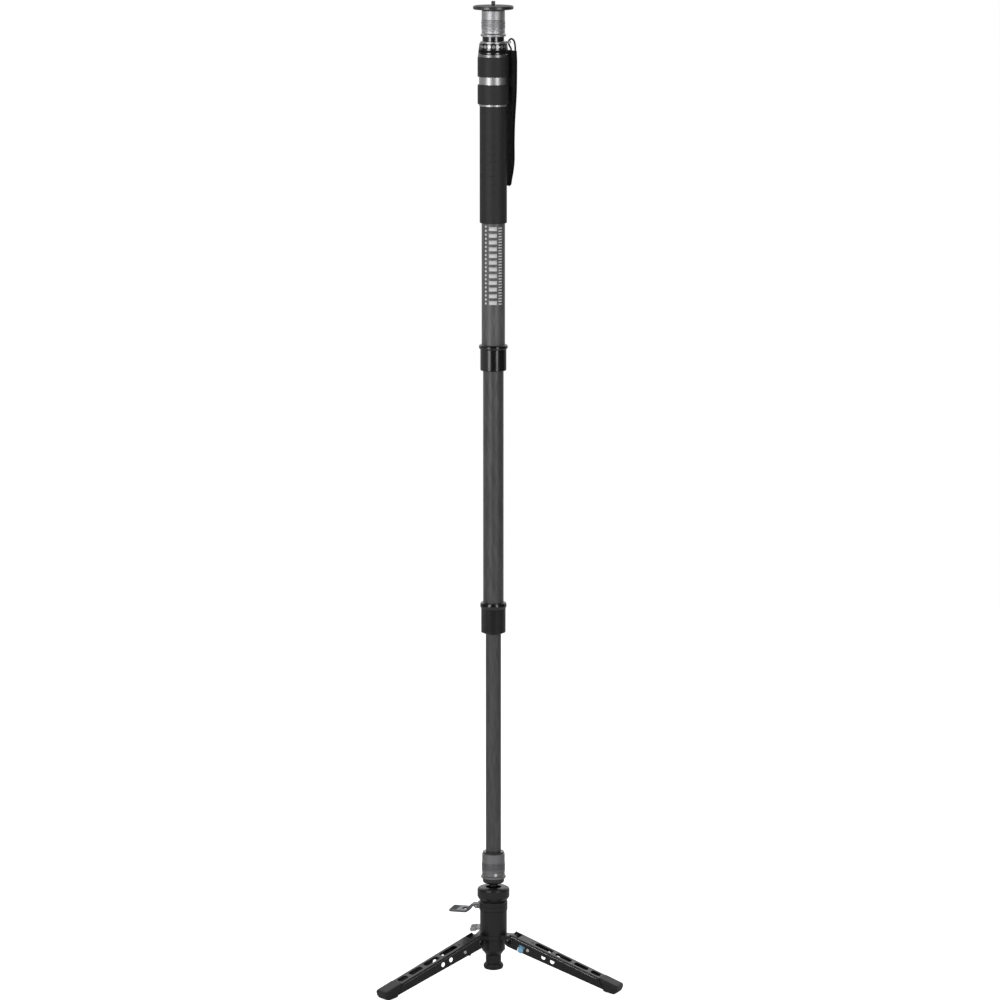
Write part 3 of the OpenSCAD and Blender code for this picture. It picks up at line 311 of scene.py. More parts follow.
def wovenNylon(name, finish):
    # plain weave on the band's own UV map, which counts millimetres across and along it
    material, tree, shader = newMaterial(name, finish)[:3]
    cloth = addNode(tree, "ShaderNodeUVMap", uv_map="bandMm").outputs["UV"]
    threads = []
    for direction, size in (("X", finish["warpMm"]), ("Y", finish["weftMm"])):
        yarn = {"Vector": cloth, "Scale": wavePeriod / size, "Distortion": finish["waver"], "Detail": 1.0}
        wave = addNode(tree, "ShaderNodeTexWave", yarn, wave_type="BANDS", bands_direction=direction)
        threads.append(wave.outputs["Fac"])
    crossed = {0: threads[0], 1: threads[1]}
    weave = addNode(tree, "ShaderNodeMath", crossed, operation="MULTIPLY").outputs[0]
    tint(tree, shader, finish, weave)
    emboss(tree, shader, weave, finish["bump"], finish["depthMm"])
    shader.inputs["Sheen Weight"].default_value = finish["sheen"]
    shader.inputs["Sheen Roughness"].default_value = finish["sheenRoughness"]
    return material


def coated(base, colour, colour2, roughness, **more):
    return {**base, "colour": colour, "colour2": colour2, "roughness": roughness, **more}


# what finishes of one kind share
blackTurned = {"roughnessSpread": 0.05, "lineMm": 0.5, "cloudMm": 9, "bump": 0.12, "depthMm": 0.02,
               "waver": 1.5}
bareTurned = {**blackTurned, "cloudMm": 12, "metallic": 1.0}
ribbed = {**bareTurned, "roughnessSpread": 0.08, "lineMm": 4.6, "depthMm": 0.16, "waver": 0.0}
bareSteel = {"roughnessSpread": 0.05, "grainMm": 0.6, "cloudMm": 4, "bump": 0.05, "metallic": 1.0}
blasted = {"roughnessSpread": 0.06, "grainMm": 0.5, "cloudMm": 7, "bump": 0.2}
painted = {"roughnessSpread": 0.04, "grainMm": 0.5, "cloudMm": 10, "bump": 0.08}
rubber = {"roughnessSpread": 0.06, "grainMm": 0.5, "cloudMm": 14, "bump": 0.2}
plastic = {"roughnessSpread": 0.05, "grainMm": 0.4, "cloudMm": 3, "bump": 0.08}
rolledCarbon = {"towMm": 4.0, "streakMm": 42, "twist": 14.0, "apart": 0.3, "fray": 0.6, "secondWay": 0.38,
                "toneSpan": (0.36, 0.64), "roughnessSpread": -0.08, "bump": 0.12, "depthMm": 0.05,
                "coat": 0.9, "coatRoughness": 0.46}
nylon = {"waver": 0.3, "bump": 0.5, "depthMm": 0.2, "sheen": 0.2, "sheenRoughness": 0.4, "gloss": 0.25}

finishes = {
    # black anodising with a soft sheen and faint turning lines
    "anodisedSatin": coated(blackTurned, "#1f1f20", "#272728", 0.34),
    # deep black anodising with narrow bright reflections
    "anodisedGloss": coated(blackTurned, "#121213", "#161617", 0.20, roughnessSpread=0.03, bump=0.05,
                            gloss=0.85),
    # black that hardly reflects: a matt band, and painted shade in hollows and grooves such as the hinge
    # bolts' sockets
    "mattBlackAndShade": coated(blackTurned, "#0e0e0f", "#121213", 0.60, bump=0.05, gloss=0.2),
    # black anodising that shines at a low angle
    "anodisedPlate": coated(blackTurned, "#1f1f20", "#272728", 0.33, bump=0.10, gloss=1.0, ior=1.6),
    # dark mirror-like anodising with hard bright stripes
    "anodisedPolished": coated(blackTurned, "#6b6b6c", "#737374", 0.20, roughnessSpread=0.02, bump=0.04,
                               metallic=1.0),
    # light grey anodising with broad soft stripes of light
    "greyAnodised": coated(bareTurned, "#c8c8ca", "#d0d0d2", 0.50, lineMm=0.6, bump=0.15),
    # the same grey a little darker, with low ribs to hold
    "greyRibbed": coated(ribbed, "#b2b2b4", "#bcbcbe", 0.52, bump=1.0),
    # the top coupler's grey anodising painted a mid grey for the lower coupler, as painted shade for the
    # dimmer light near the floor; nearly flat in tone
    "shadedGreyAnodised": coated(bareTurned, "#9a9a9c", "#a2a2a4", 0.55, lineMm=0.6, bump=0.15),
    # the same painted-shade mid grey a little darker, with faint low ribs: the top coupler's ribbed grey
    # painted darker as shade
    "shadedGreyRibbed": coated(ribbed, "#868688", "#8e8e90", 0.58, bump=0.5),
    # bright turned aluminium with wide white stripes
    "brightAluminium": coated(bareTurned, "#c6c6c8", "#cececf", 0.42, roughnessSpread=0.04),
    # duller aluminium with narrower stripes
    "duskAluminium": coated(bareTurned, "#9a9a9c", "#a2a2a4", 0.36, roughnessSpread=0.04, bump=0.10),
    # bright ground steel
    "brightSteel": coated(bareSteel, "#c4c4c4", "#d2d2d2", 0.30),
    # dark oiled steel
    "darkSteel": coated(bareSteel, "#848485", "#909091", 0.30),
    # pale warm zinc, lit evenly
    "zincRivet": coated(bareSteel, "#e4dcd8", "#ece6e2", 0.45, metallic=0.25),
    # grey metal with a sandy grain
    "blastedPedal": coated(blasted, "#77787a", "#86878a", 0.42, metallic=0.9),
    # nearly white metal with a sandy grain
    "brightPedal": coated(blasted, "#d4d4d6", "#e0e0e2", 0.40, metallic=0.25),
    # smooth black paint with sharp reflections
    "legPaint": coated(painted, "#19191a", "#1f1f20", 0.24),
    # paint rubbed down to bright metal
    "rubbedEdge": coated(painted, "#a0a0a1", "#a8a8a9", 0.24, bump=0.05, metallic=1.0),
    # soft dark grey rubber with a dull bloom
    "gripRubber": coated(rubber, "#292828", "#2f2e2e", 0.58),
    # firmer black rubber with a little sheen
    "footRubber": coated(rubber, "#222222", "#282828", 0.50, grainMm=0.6, cloudMm=10),
    # coarse black rubber with a visible grain
    "padRubber": coated(rubber, "#1d1d1d", "#262626", 0.55, grainMm=0.9, cloudMm=5, bump=0.3),
    # clear light blue moulded plastic
    "latchPlastic": coated(plastic, "#96d2f6", "#a2d8f8", 0.42),
    # plain dark grey machined plastic
    "acetal": coated(plastic, "#3a3a3a", "#424242", 0.45, grainMm=0.6, cloudMm=8),
    # warm yellow brass with turning lines
    "turnedBrass": coated(bareTurned, "#b89a55", "#c4a860", 0.28, lineMm=0.6, cloudMm=8, bump=0.15),
    # flat white print
    "whiteInk": coated(plastic, "#ffffff", "#f6f6f6", 0.5, roughnessSpread=0.04, bump=0.05, gloss=0.4),
    # dark grey lacquered carbon with slanting streaks
    "carbon": coated(rolledCarbon, "#3a3a3b", "#585859", 0.44),
    # the same carbon painted paler for the upper tube, as painted light for the stronger light there
    "litCarbon": coated(rolledCarbon, "#4e4e4f", "#6e6e6f", 0.46),
    # dull black webbing with a tight plain weave
    "webbing": coated(nylon, "#0b0b0b", "#1c1c1c", 0.75, warpMm=0.377, weftMm=0.5027),
    # matt black sewing thread, a shade lighter than the webbing
    "stitchThread": coated(plastic, "#1a1a1a", "#262626", 0.6, grainMm=0.3, cloudMm=2, bump=0.2, gloss=0.3),
    # dull black cord with a slanted braid
    "cordBraid": coated(nylon, "#0c0c0c", "#1f1f1f", 0.7, warpMm=0.2827, weftMm=0.2827),
}
makerOf = {"carbon": carbonTube, "litCarbon": carbonTube, "webbing": wovenNylon, "cordBraid": wovenNylon}
materials = {}


def makeMaterials():
    for name, finish in finishes.items():
        maker = makerOf.get(name, turnedMetal if "lineMm" in finish else mottled)
        materials[name] = maker(name, finish)


# Building pieces from the frame

def newPiece(name, mesh, material):
    piece = bpy.data.objects.new(name, mesh)
    scene.collection.objects.link(piece)
    if material:
        mesh.materials.clear()
        mesh.materials.append(materials[material])
    return piece


def standFor(piece, node):
    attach(piece, bodyOf[node])
    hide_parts(node)
    return piece


def rideOn(piece, node):
    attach(piece, bodyOf[node])
    return piece


def meshFrom(shape, name, sharpAt=35):
    for face in shape.faces:
        face.smooth = True
    for edge in shape.edges:
        edge.smooth = not (len(edge.link_faces) == 2 and edge.calc_face_angle(0) > math.radians(sharpAt))
    mesh = bpy.data.meshes.new(name)
    shape.to_mesh(mesh)
    shape.free()
    return mesh


edgeAngle = 28  # degrees: faces that meet at more than this make an edge


def sharpEdges(shape):
    limit = math.radians(edgeAngle)
    return [e for e in shape.edges if len(e.link_faces) == 2 and e.calc_face_angle(0) > limit]


def rounded(shape, edges, radius, segments):
    bmesh.ops.bevel(shape, geom=edges, offset=radius * mm, offset_type="OFFSET", segments=segments,
                    profile=0.5, affect="EDGES", clamp_overlap=True)


copyLook = {"mergeWithin": 0.002, "flatWithin": 0.5}  # millimetres and degrees


def mergedCopy(node):
    shape = bmesh.new()
    shape.from_mesh(nodes[node].data)
    bmesh.ops.remove_doubles(shape, verts=shape.verts, dist=copyLook["mergeWithin"] * mm)
    flat = math.radians(copyLook["flatWithin"])
    bmesh.ops.dissolve_limit(shape, angle_limit=flat, verts=shape.verts, edges=shape.edges)
    return shape


foldLook = {"length": 12, "area": 300, "segments": 4}  # a fold is longer, and its faces larger, than these


def polished(node, material, edge, segments=2, fold=0):
    # a merged copy of the node with its sharp edges rounded off, and its long folds rounded more
    shape = mergedCopy(node)
    if fold:
        wide = [e for e in sharpEdges(shape) if e.is_convex and e.calc_length() > foldLook["length"] * mm
                and min(f.calc_area() for f in e.link_faces) > foldLook["area"] * mm ** 2]
        rounded(shape, wide, fold, foldLook["segments"])
    rounded(shape, sharpEdges(shape), edge, segments)
    piece = newPiece(node + "Piece", meshFrom(shape, node + "Piece"), material)
    piece.modifiers.new("flatFaces", "WEIGHTED_NORMAL").keep_sharp = True
    return standFor(piece, node)


bootLook = {"cell": 0.8, "wear": 0.5, "passes": 45}


def moulded(node, material):
    # a copy of the node with all its corners worn round, as soft rubber comes from a mould
    shape = mergedCopy(node)
    blank = bpy.data.objects.new(node + "Blank", meshFrom(shape, node + "Blank"))
    scene.collection.objects.link(blank)
    cells = blank.modifiers.new("cells", "REMESH")
    cells.mode = "VOXEL"
    cells.voxel_size = bootLook["cell"] * mm
    wear = blank.modifiers.new("wear", "SMOOTH")
    wear.factor = bootLook["wear"]
    wear.iterations = bootLook["passes"]
    seen = blank.evaluated_get(bpy.context.evaluated_depsgraph_get())
    shape = bmesh.new()
    shape.from_mesh(bpy.data.meshes.new_from_object(seen))
    bpy.data.objects.remove(blank)
    return standFor(newPiece(node + "Piece", meshFrom(shape, node + "Piece", sharpAt=60), material), node)


def turnedOutline(node):
    # radius and height of each ring of a turned node, in order round its section
    mesh = nodes[node].data
    ring = [(round(math.hypot(v.co.x, v.co.y), 6), round(v.co.z, 6)) for v in mesh.vertices]
    beside = {}
    for edge in mesh.edges:
        a, b = (ring[i] for i in edge.vertices)
        if a != b:
            beside.setdefault(a, set()).add(b)
            beside.setdefault(b, set()).add(a)
    ends = [r for r in beside if len(beside[r]) == 1]
    outline = [min(ends or beside)]
    while True:
        onward = [r for r in sorted(beside[outline[-1]]) if r not in outline]
        if not onward:
            break
        outline.append(onward[0])
    if ends:
        outline = [(0.0, outline[0][1])] + outline + [(0.0, outline[-1][1])]
    return outline


def radiusAt(node, height):
    # outer radius of a turned node at a height
    outline = turnedOutline(node)
    reach = 0.0
    for a, b in zip(outline, outline[1:] + outline[:1]):
        if a[1] != b[1] and min(a[1], b[1]) <= height <= max(a[1], b[1]):
            reach = max(reach, a[0] + (b[0] - a[0]) * (height - a[1]) / (b[1] - a[1]))
    return reach


cornerLook = {
    "flatBelow": 12,  # degrees: a smaller turn stays as it is
    "steps": 4,
    "reachShare": 0.4,  # of the run beside the corner, at most
    "guard": 0.12,
    "guardShare": 0.1,
}


def roundedOutline(outline, radius):
    # arcs at the corners, and points beside each arc that keep the straight runs flat
    steps, share, guardShare = cornerLook["steps"], cornerLook["reachShare"], cornerLook["guardShare"]
    softened = []
    for i, corner in enumerate(outline):
        before, after = Vector(outline[i - 1]), Vector(outline[(i + 1) % len(outline)])
        here = Vector(corner)
        back, on = before - here, after - here
        turn = math.pi - back.angle(on)
        if corner[0] == 0.0 or turn < math.radians(cornerLook["flatBelow"]):
            softened.append(corner)
            continue
        reach = min(radius * mm * math.tan(turn / 2), share * back.length, share * on.length)
        first, last = here + back.normalized() * reach, here + on.normalized() * reach
        guard = min(cornerLook["guard"] * mm, guardShare * back.length, guardShare * on.length)
        softened.append(tuple(first + back.normalized() * guard))
        for k in range(steps + 1):
            t = k / steps
            softened.append(tuple(first.lerp(here, t).lerp(here.lerp(last, t), t)))
        softened.append(tuple(last + on.normalized() * guard))
    return softened


def lathe(outline, segments):
    shape = bmesh.new()
    closed = outline[0][0] != 0.0
    rings = []
    for radius, height in outline:
        if radius == 0.0:
            rings.append([shape.verts.new((0, 0, height))] * segments)
            continue
        turns = [math.tau * k / segments for k in range(segments)]
        rings.append([shape.verts.new((radius * math.cos(a), radius * math.sin(a), height)) for a in turns])
    count = len(rings)
    for i in range(count if closed else count - 1):
        low, high = rings[i], rings[(i + 1) % count]
        for k in range(segments):
            after = (k + 1) % segments
            corners = []
            for vert in (low[k], low[after], high[after], high[k]):
                if vert not in corners:
                    corners.append(vert)
            if len(corners) > 2:
                shape.faces.new(corners)
    bmesh.ops.recalc_face_normals(shape, faces=shape.faces)
    return shape


turnedLook = {"segments": 96, "sharpAt": 60}


def turned(node, material, edge):
    outline = roundedOutline(turnedOutline(node), edge)
    mesh = meshFrom(lathe(outline, turnedLook["segments"]), node + "Piece", turnedLook["sharpAt"])
    return standFor(newPiece(node + "Piece", mesh, material), node)


outerShare = 0.8  # faces beyond this share of a turned piece's radius are its outer ones


def paintBand(piece, material, low, high):
    # a second material on the outer faces between two heights, with the mesh cut there
    mesh = piece.data
    mesh.materials.append(materials[material])
    shape = bmesh.new()
    shape.from_mesh(mesh)
    for height in (low, high):
        parts = [*shape.verts, *shape.edges, *shape.faces]
        bmesh.ops.bisect_plane(shape, geom=parts, dist=1e-7, plane_co=(0, 0, height), plane_no=(0, 0, 1))
    reach = max(math.hypot(v.co.x, v.co.y) for v in shape.verts)
    for face in shape.faces:
        middle = face.calc_center_median()
        if low < middle.z < high and math.hypot(middle.x, middle.y) > outerShare * reach:
            face.material_index = len(mesh.materials) - 1
    shape.to_mesh(mesh)
    shape.free()


def paintWhere(piece, material, chosen):
    # a second material on the faces that pass a test
    mesh = piece.data
    mesh.materials.append(materials[material])
    for face in mesh.polygons:
        if chosen(face):
            face.material_index = len(mesh.materials) - 1


dimpleFloor = {"upright": 0.02, "corners": 8}  # the floors are upright and have more corners than other faces


def inDimple(face):
    outward = face.normal.x * face.center.x + face.normal.y * face.center.y
    upright = abs(face.normal.z) < dimpleFloor["upright"]
    return upright and outward > 0 and len(face.vertices) > dimpleFloor["corners"]


# the hinge bolts' sockets are coloured matt black as painted shade
boltSocket = {"reach": 2.45, "half": 15.0}  # round a hinge's axis, and along it from its middle


def inBoltSocket(face):
    for leg in "abc":
        hinge = jointOf["leg_fold_" + leg]
        axis = Vector(hinge["axis"])
        away = face.center - Vector(hinge["pos_m"])
        aside = away - axis * away.dot(axis)
        if aside.length < boltSocket["reach"] * mm and away.length < boltSocket["half"] * mm:
            return True
    return False


hubEars = {"beyond": 21.2}  # what stands out of the hub past this radius


def onHubEar(face):
    return math.hypot(face.center.x, face.center.y) > hubEars["beyond"] * mm


latchPad = {"from": 9.0}  # the pad begins this far from the leg's middle


def insideLeg(leg):
    hinge = jointOf["leg_fold_" + leg]
    middle, axis = Vector(hinge["pos_m"]), Vector(hinge["axis"])
    return lambda face: (face.center - middle).dot(axis) < latchPad["from"] * mm


def dress(node, material):
    slots = nodes[node].data.materials
    slots.clear()
    slots.append(materials[material])


# Geometry Nodes trees

def newTree(name, sizes):
    tree = bpy.data.node_groups.new(name, "GeometryNodeTree")
    tree.interface.new_socket(name="Geometry", in_out="OUTPUT", socket_type="NodeSocketGeometry")
    tree.interface.new_socket(name="Geometry", in_out="INPUT", socket_type="NodeSocketGeometry")
    tree.interface.new_socket(name="Material", in_out="INPUT", socket_type="NodeSocketMaterial")
    for label, start in sizes.items():
        kind = "NodeSocketInt" if isinstance(start, int) else "NodeSocketFloat"
        tree.interface.new_socket(name=label, in_out="INPUT", socket_type=kind).default_value = start
    return tree, addNode(tree, "NodeGroupInput").outputs


def closeTree(tree, geometry, given):
    smooth = addNode(tree, "GeometryNodeSetShadeSmooth", {"Geometry": geometry}).outputs["Geometry"]
    painted = addNode(tree, "GeometryNodeSetMaterial", {"Geometry": smooth, "Material": given["Material"]})
    addNode(tree, "NodeGroupOutput", {"Geometry": painted.outputs["Geometry"]})
    return tree


def grow(tree, name, material, values, seed=None):
    holder = bpy.data.objects.new(name + "Seed", seed or bpy.data.meshes.new(name + "Seed"))
    scene.collection.objects.link(holder)
    modifier = holder.modifiers.new("grown", "NODES")
    modifier.node_group = tree
    for socket in tree.interface.items_tree:
        if socket.in_out == "INPUT" and socket.name in values:
            modifier[socket.identifier] = values[socket.name]
        if socket.in_out == "INPUT" and socket.name == "Material":
            modifier[socket.identifier] = materials[material]
    seen = holder.evaluated_get(bpy.context.evaluated_depsgraph_get())
    mesh = bpy.data.meshes.new_from_object(seen)
    mesh.name = name
    bpy.data.objects.remove(holder)
    return mesh


def repeated(tree, points, shape, **more):
    marks = addNode(tree, "GeometryNodeInstanceOnPoints", {"Points": points, "Instance": shape, **more})
    real = addNode(tree, "GeometryNodeRealizeInstances", {"Geometry": marks.outputs["Instances"]})
    return real.outputs["Geometry"]


def wrapTree(name, shapeOf):
    # a column of equal marks, bent round a tube: local x runs round it and local -y stands out of it
    tree, given = newTree(name, {"Count": 5, "Pitch": 0.01, "Width": 0.01, "Height": 0.003, "Rise": 0.0005,
                                 "Radius": 0.02, "Azimuth": 0.0, "Base": 0.0})
    start = addNode(tree, "ShaderNodeCombineXYZ", {"Z": given["Base"]}).outputs[0]
    offset = addNode(tree, "ShaderNodeCombineXYZ", {"Z": given["Pitch"]}).outputs[0]
    column = {"Count": given["Count"], "Start Location": start, "Offset": offset}
    line = addNode(tree, "GeometryNodeMeshLine", column).outputs["Mesh"]
    real = repeated(tree, line, shapeOf(tree, given))
    place = addNode(tree, "GeometryNodeInputPosition").outputs[0]
    flat = addNode(tree, "ShaderNodeSeparateXYZ", {0: place}).outputs
    value = {"x": flat["X"], "y": flat["Y"], "radius": given["Radius"], "azimuth": given["Azimuth"],
             "forward": -1.0}
    # result, operation and terms of each step round the tube
    steps = (("turn", "DIVIDE", "x", "radius"), ("angle", "ADD", "turn", "azimuth"),
             ("out", "SUBTRACT", "radius", "y"), ("sine", "SINE", "angle"), ("cosine", "COSINE", "angle"),
             ("aside", "MULTIPLY", "sine", "out"), ("ahead", "MULTIPLY", "cosine", "out"),
             ("toFront", "MULTIPLY", "ahead", "forward"))
    for result, operation, *terms in steps:
        inputs = {i: value[term] for i, term in enumerate(terms)}
        value[result] = addNode(tree, "ShaderNodeMath", inputs, operation=operation).outputs[0]
    corner = {"X": value["aside"], "Y": value["toFront"], "Z": flat["Z"]}
    bent = addNode(tree, "ShaderNodeCombineXYZ", corner).outputs[0]
    moved = addNode(tree, "GeometryNodeSetPosition", {"Geometry": real, "Position": bent})
    return closeTree(tree, moved.outputs["Geometry"], given)


def markSize(tree, given):
    sides = {"X": given["Width"], "Y": given["Rise"], "Z": given["Height"]}
    return addNode(tree, "ShaderNodeCombineXYZ", sides).outputs[0]


def barShape(tree, given):
    bar = addNode(tree, "GeometryNodeMeshCube", {"Size": markSize(tree, given), "Vertices X": 9,
                                                 "Vertices Y": 2, "Vertices Z": 2})
    return bar.outputs["Mesh"]


def ball(tree, segments, rings, size):
    # a round lump drawn out to a size
    unit = addNode(tree, "GeometryNodeMeshUVSphere", {"Segments": segments, "Rings": rings, "Radius": 0.5})
    drawn = addNode(tree, "GeometryNodeTransform", {"Geometry": unit.outputs["Mesh"], "Scale": size})
    return drawn.outputs["Geometry"]


def ovalShape(tree, given):
    return ball(tree, 24, 12, markSize(tree, given))


def threadTree():
    # a ridge or wire of few sides wound round a core
    tree, given = newTree("screwThread", {"Core": 0.0025, "Pitch": 0.00127, "Ridge": 0.0005, "Turns": 5.0,
                                          "Steps": 32, "Sides": 4, "Base": 0.0})
    rise = addNode(tree, "ShaderNodeMath", {0: given["Pitch"], 1: given["Turns"]}, operation="MULTIPLY")
    course = {"Resolution": given["Steps"], "Rotations": given["Turns"], "Start Radius": given["Core"],
              "End Radius": given["Core"], "Height": rise.outputs[0]}
    coil = addNode(tree, "GeometryNodeCurveSpiral", course).outputs["Curve"]
    ridge = addNode(tree, "GeometryNodeCurvePrimitiveCircle", {"Resolution": given["Sides"],
                                                               "Radius": given["Ridge"]}).outputs["Curve"]
    wound = addNode(tree, "GeometryNodeCurveToMesh", {"Curve": coil, "Profile Curve": ridge,
                                                      "Fill Caps": True})
    base = addNode(tree, "ShaderNodeCombineXYZ", {"Z": given["Base"]}).outputs[0]
    placed = addNode(tree, "GeometryNodeTransform", {"Geometry": wound.outputs["Mesh"], "Translation": base})
    real = addNode(tree, "GeometryNodeRealizeInstances", {"Geometry": placed.outputs["Geometry"]})
    return closeTree(tree, real.outputs["Geometry"], given)


def stitchTree():
    # one thread lump after another along a line of points
    tree, given = newTree("stitchRow", {"Spacing": 0.003, "Length": 0.0022, "Thickness": 0.0005})
    path = addNode(tree, "GeometryNodeMeshToCurve", {"Mesh": given["Geometry"]}).outputs["Curve"]
    steps = {"Curve": path, "Length": given["Spacing"]}
    even = addNode(tree, "GeometryNodeResampleCurve", steps, mode="LENGTH").outputs["Curve"]
    thread = {"X": given["Thickness"], "Y": given["Thickness"], "Z": given["Length"]}
    lump = ball(tree, 8, 6, addNode(tree, "ShaderNodeCombineXYZ", thread).outputs[0])
    way = addNode(tree, "GeometryNodeInputTangent").outputs[0]
    aim = addNode(tree, "FunctionNodeAlignRotationToVector", {"Vector": way}, axis="Z").outputs[0]
    return closeTree(tree, repeated(tree, even, lump, Rotation=aim), given)


def knurlTree():
    # a field of four-sided points
    tree, given = newTree("knurledField", {"Length": 0.006, "Width": 0.024, "Rows": 4, "Columns": 12,
                                           "Foot": 0.001, "Tip": 0.0002, "Rise": 0.0006})
    spread = {"Size X": given["Length"], "Size Y": given["Width"], "Vertices X": given["Rows"],
              "Vertices Y": given["Columns"]}
    field = addNode(tree, "GeometryNodeMeshGrid", spread)
    point = addNode(tree, "GeometryNodeMeshCone", {"Vertices": 4, "Radius Bottom": given["Foot"],
                                                   "Radius Top": given["Tip"], "Depth": given["Rise"]})
    return closeTree(tree, repeated(tree, field.outputs["Mesh"], point.outputs["Mesh"]), given)


# Strap cord and wrist strap

cordRoute = {
    # from the lug's hole: x outwards, y behind it, z from the ring's middle, in millimetres
    "points": [(9.4, -2.7, -12.5), (9.4, -2.7, -10), (9.3, -1.9, -6), (8.7, -0.6, -2), (7.6, 0, 1.6),
               (5.6, 0, 4), (3.4, 0, 4.6), (1.4, 0, 3.5), (0.2, 0, 1.6), (0, 0, 0), (0, 0, -2),
               (0.5, 1, -4.2), (1.9, 4.4, -7), (3.3, 7.9, -10), (3.3, 7.9, -12.5)],
    "lugTip": 3.2,
    "diameter": 2.6,
    "sides": 12,
    "stepsBetween": 5,
}


def throughPoints(points, steps):
    # Catmull-Rom curve through the points
    line = []
    last = len(points) - 1
    for i in range(last):
        a, b, c, d = (points[min(max(k, 0), last)] for k in (i - 1, i, i + 1, i + 2))
        for k in range(steps):
            t = k / steps
            line.append(0.5 * (2 * b + (c - a) * t + (2 * a - 5 * b + 4 * c - d) * t ** 2
                               + (3 * b - a - 3 * c + d) * t ** 3))
    return line + [points[-1]]


def skinned(shape, marks, rings, mapAt):
    # walls between neighbouring rings, closed at both ends, with each corner's place on the UV map
    count = len(rings[0])
    for i in range(len(rings) - 1):
        for k in range(count):
            after = (k + 1) % count
            face = shape.faces.new((rings[i][k], rings[i][after], rings[i + 1][after], rings[i + 1][k]))
            for loop, corner in zip(face.loops, ((k, i), (k + 1, i), (k + 1, i + 1), (k, i + 1))):
                loop[marks].uv = mapAt(*corner)
    shape.faces.new(list(reversed(rings[0])))
    shape.faces.new(rings[-1])
    bmesh.ops.recalc_face_normals(shape, faces=shape.faces)


def sweptTube(line, radius, sides):
    shape = bmesh.new()
    marks = shape.loops.layers.uv.new("bandMm")
    rings, runs = [], [0.0]
    side = Vector((0, 1, 0))
    for i, point in enumerate(line):
        ahead = (line[min(i + 1, len(line) - 1)] - line[max(i - 1, 0)]).normalized()
        side = (side - ahead * side.dot(ahead)).normalized()
        other = ahead.cross(side)
        turns = [math.tau * k / sides for k in range(sides)]
        aside = [math.cos(a) * side + math.sin(a) * other for a in turns]
        rings.append([shape.verts.new(point + radius * way) for way in aside])
        if i:
            runs.append(runs[-1] + (point - line[i - 1]).length)
    girth = math.tau * radius / mm

    def braided(k, i):
        across, along = k / sides * girth, runs[i] / mm
        return across + along, along - across  # slanted to the tube

    skinned(shape, marks, rings, braided)
    return shape


def makeStrapCord():
    low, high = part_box("strap_ring")
    hole = Vector((high.x - cordRoute["lugTip"] * mm, 0, (low.z + high.z) / 2))
    points = [hole + Vector(p) * mm for p in cordRoute["points"]]
    line = throughPoints(points, cordRoute["stepsBetween"])
    shape = sweptTube(line, cordRoute["diameter"] / 2 * mm, cordRoute["sides"])
    cord = newPiece("strapCord", meshFrom(shape, "strapCord"), "cordBraid")
    standFor(cord, "strap_cord")


strapBand = {
    "turn": 30,  # degrees from +X towards the back
    "inner": 23.55,  # from the column's axis to the band's inner face
    "width": 24,
    "layer": 2.0,
    "gap": 0.8,
    "bulge": 1.0,  # the outer layer stands off a little at mid-length
    # depth below the top, and place of the outer edge along the band
    "edge": [(0, 19.4), (12, 20.6), (28, 20.4), (62, 18.4), (100, 13.6), (130, 12.4), (158, 13.2),
             (174, 10.6), (187, 6.4), (197, 3.6)],
    "edgeSteps": 12,
    "steps": 70,
    "bendSteps": 8,
    "flatSteps": 8,
    "selvedgeSteps": 6,
}
strapStitch = {"inset": 2.3, "spacing": 3.0, "length": 2.3, "thick": 0.6, "freeEnds": 2}


def strapFrame():
    turn = math.radians(strapBand["turn"])
    outward = Vector((math.cos(turn), math.sin(turn), 0))
    along = Vector((math.sin(turn), -math.cos(turn), 0))
    return outward, along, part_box("wrist_strap")[1].z


def edgeAt(depth):
    points = strapBand["edge"]
    line = throughPoints([Vector((p[0], p[1], 0)) for p in points], strapBand["edgeSteps"])
    for a, b in zip(line, line[1:]):
        if a.x <= depth <= b.x:
            return a.y + (b.y - a.y) * (depth - a.x) / max(b.x - a.x, 1e-6)
    return line[-1].y if depth > line[-1].x else line[0].y


def strapPath():
    # depth, distance from the inner face and facing angle along the band, down one layer and up the other
    layer, gap = strapBand["layer"], strapBand["gap"]
    steps, bendSteps = strapBand["steps"], strapBand["bendSteps"]
    deepest = strapBand["edge"][-1][0]
    bend = (layer + gap) / 2
    floorAt = deepest - bend - layer / 2
    stops = [floorAt * k / steps for k in range(steps + 1)]
    path = [(depth, layer / 2, 0.0) for depth in stops]
    for k in range(1, bendSteps):
        a = math.pi * k / bendSteps
        path.append((floorAt + bend * math.sin(a), layer / 2 + bend * (1 - math.cos(a)), a))
    for depth in reversed(stops):
        swell = strapBand["bulge"] * math.sin(math.pi * min(depth / floorAt, 1)) ** 2
        path.append((depth, layer * 1.5 + gap + swell, math.pi))
    return path


def bandSection():
    # across the band and through its thickness: a flat oblong with round selvedges
    half, thick = strapBand["width"] / 2, strapBand["layer"] / 2
    edge = half - thick
    steps, turns = strapBand["flatSteps"], strapBand["selvedgeSteps"]
    flat = [-edge + 2 * edge * k / steps for k in range(steps + 1)]
    bends = [math.pi * k / turns for k in range(1, turns)]
    section = [(s, -thick) for s in flat]
    section += [(edge + thick * math.sin(a), -thick * math.cos(a)) for a in bends]
    section += [(s, thick) for s in reversed(flat)]
    section += [(-edge - thick * math.sin(a), thick * math.cos(a)) for a in bends]
    return section


def strapPlace(depth, off, facing):
    # middle of the band and the way it faces at one step of its path
    outward, along, top = strapFrame()
    middle = edgeAt(depth) - strapBand["width"] / 2
    centre = outward * (strapBand["inner"] + off) * mm + along * middle * mm
    centre.z = top - depth * mm
    return centre, outward * math.cos(facing) - Vector((0, 0, math.sin(facing)))


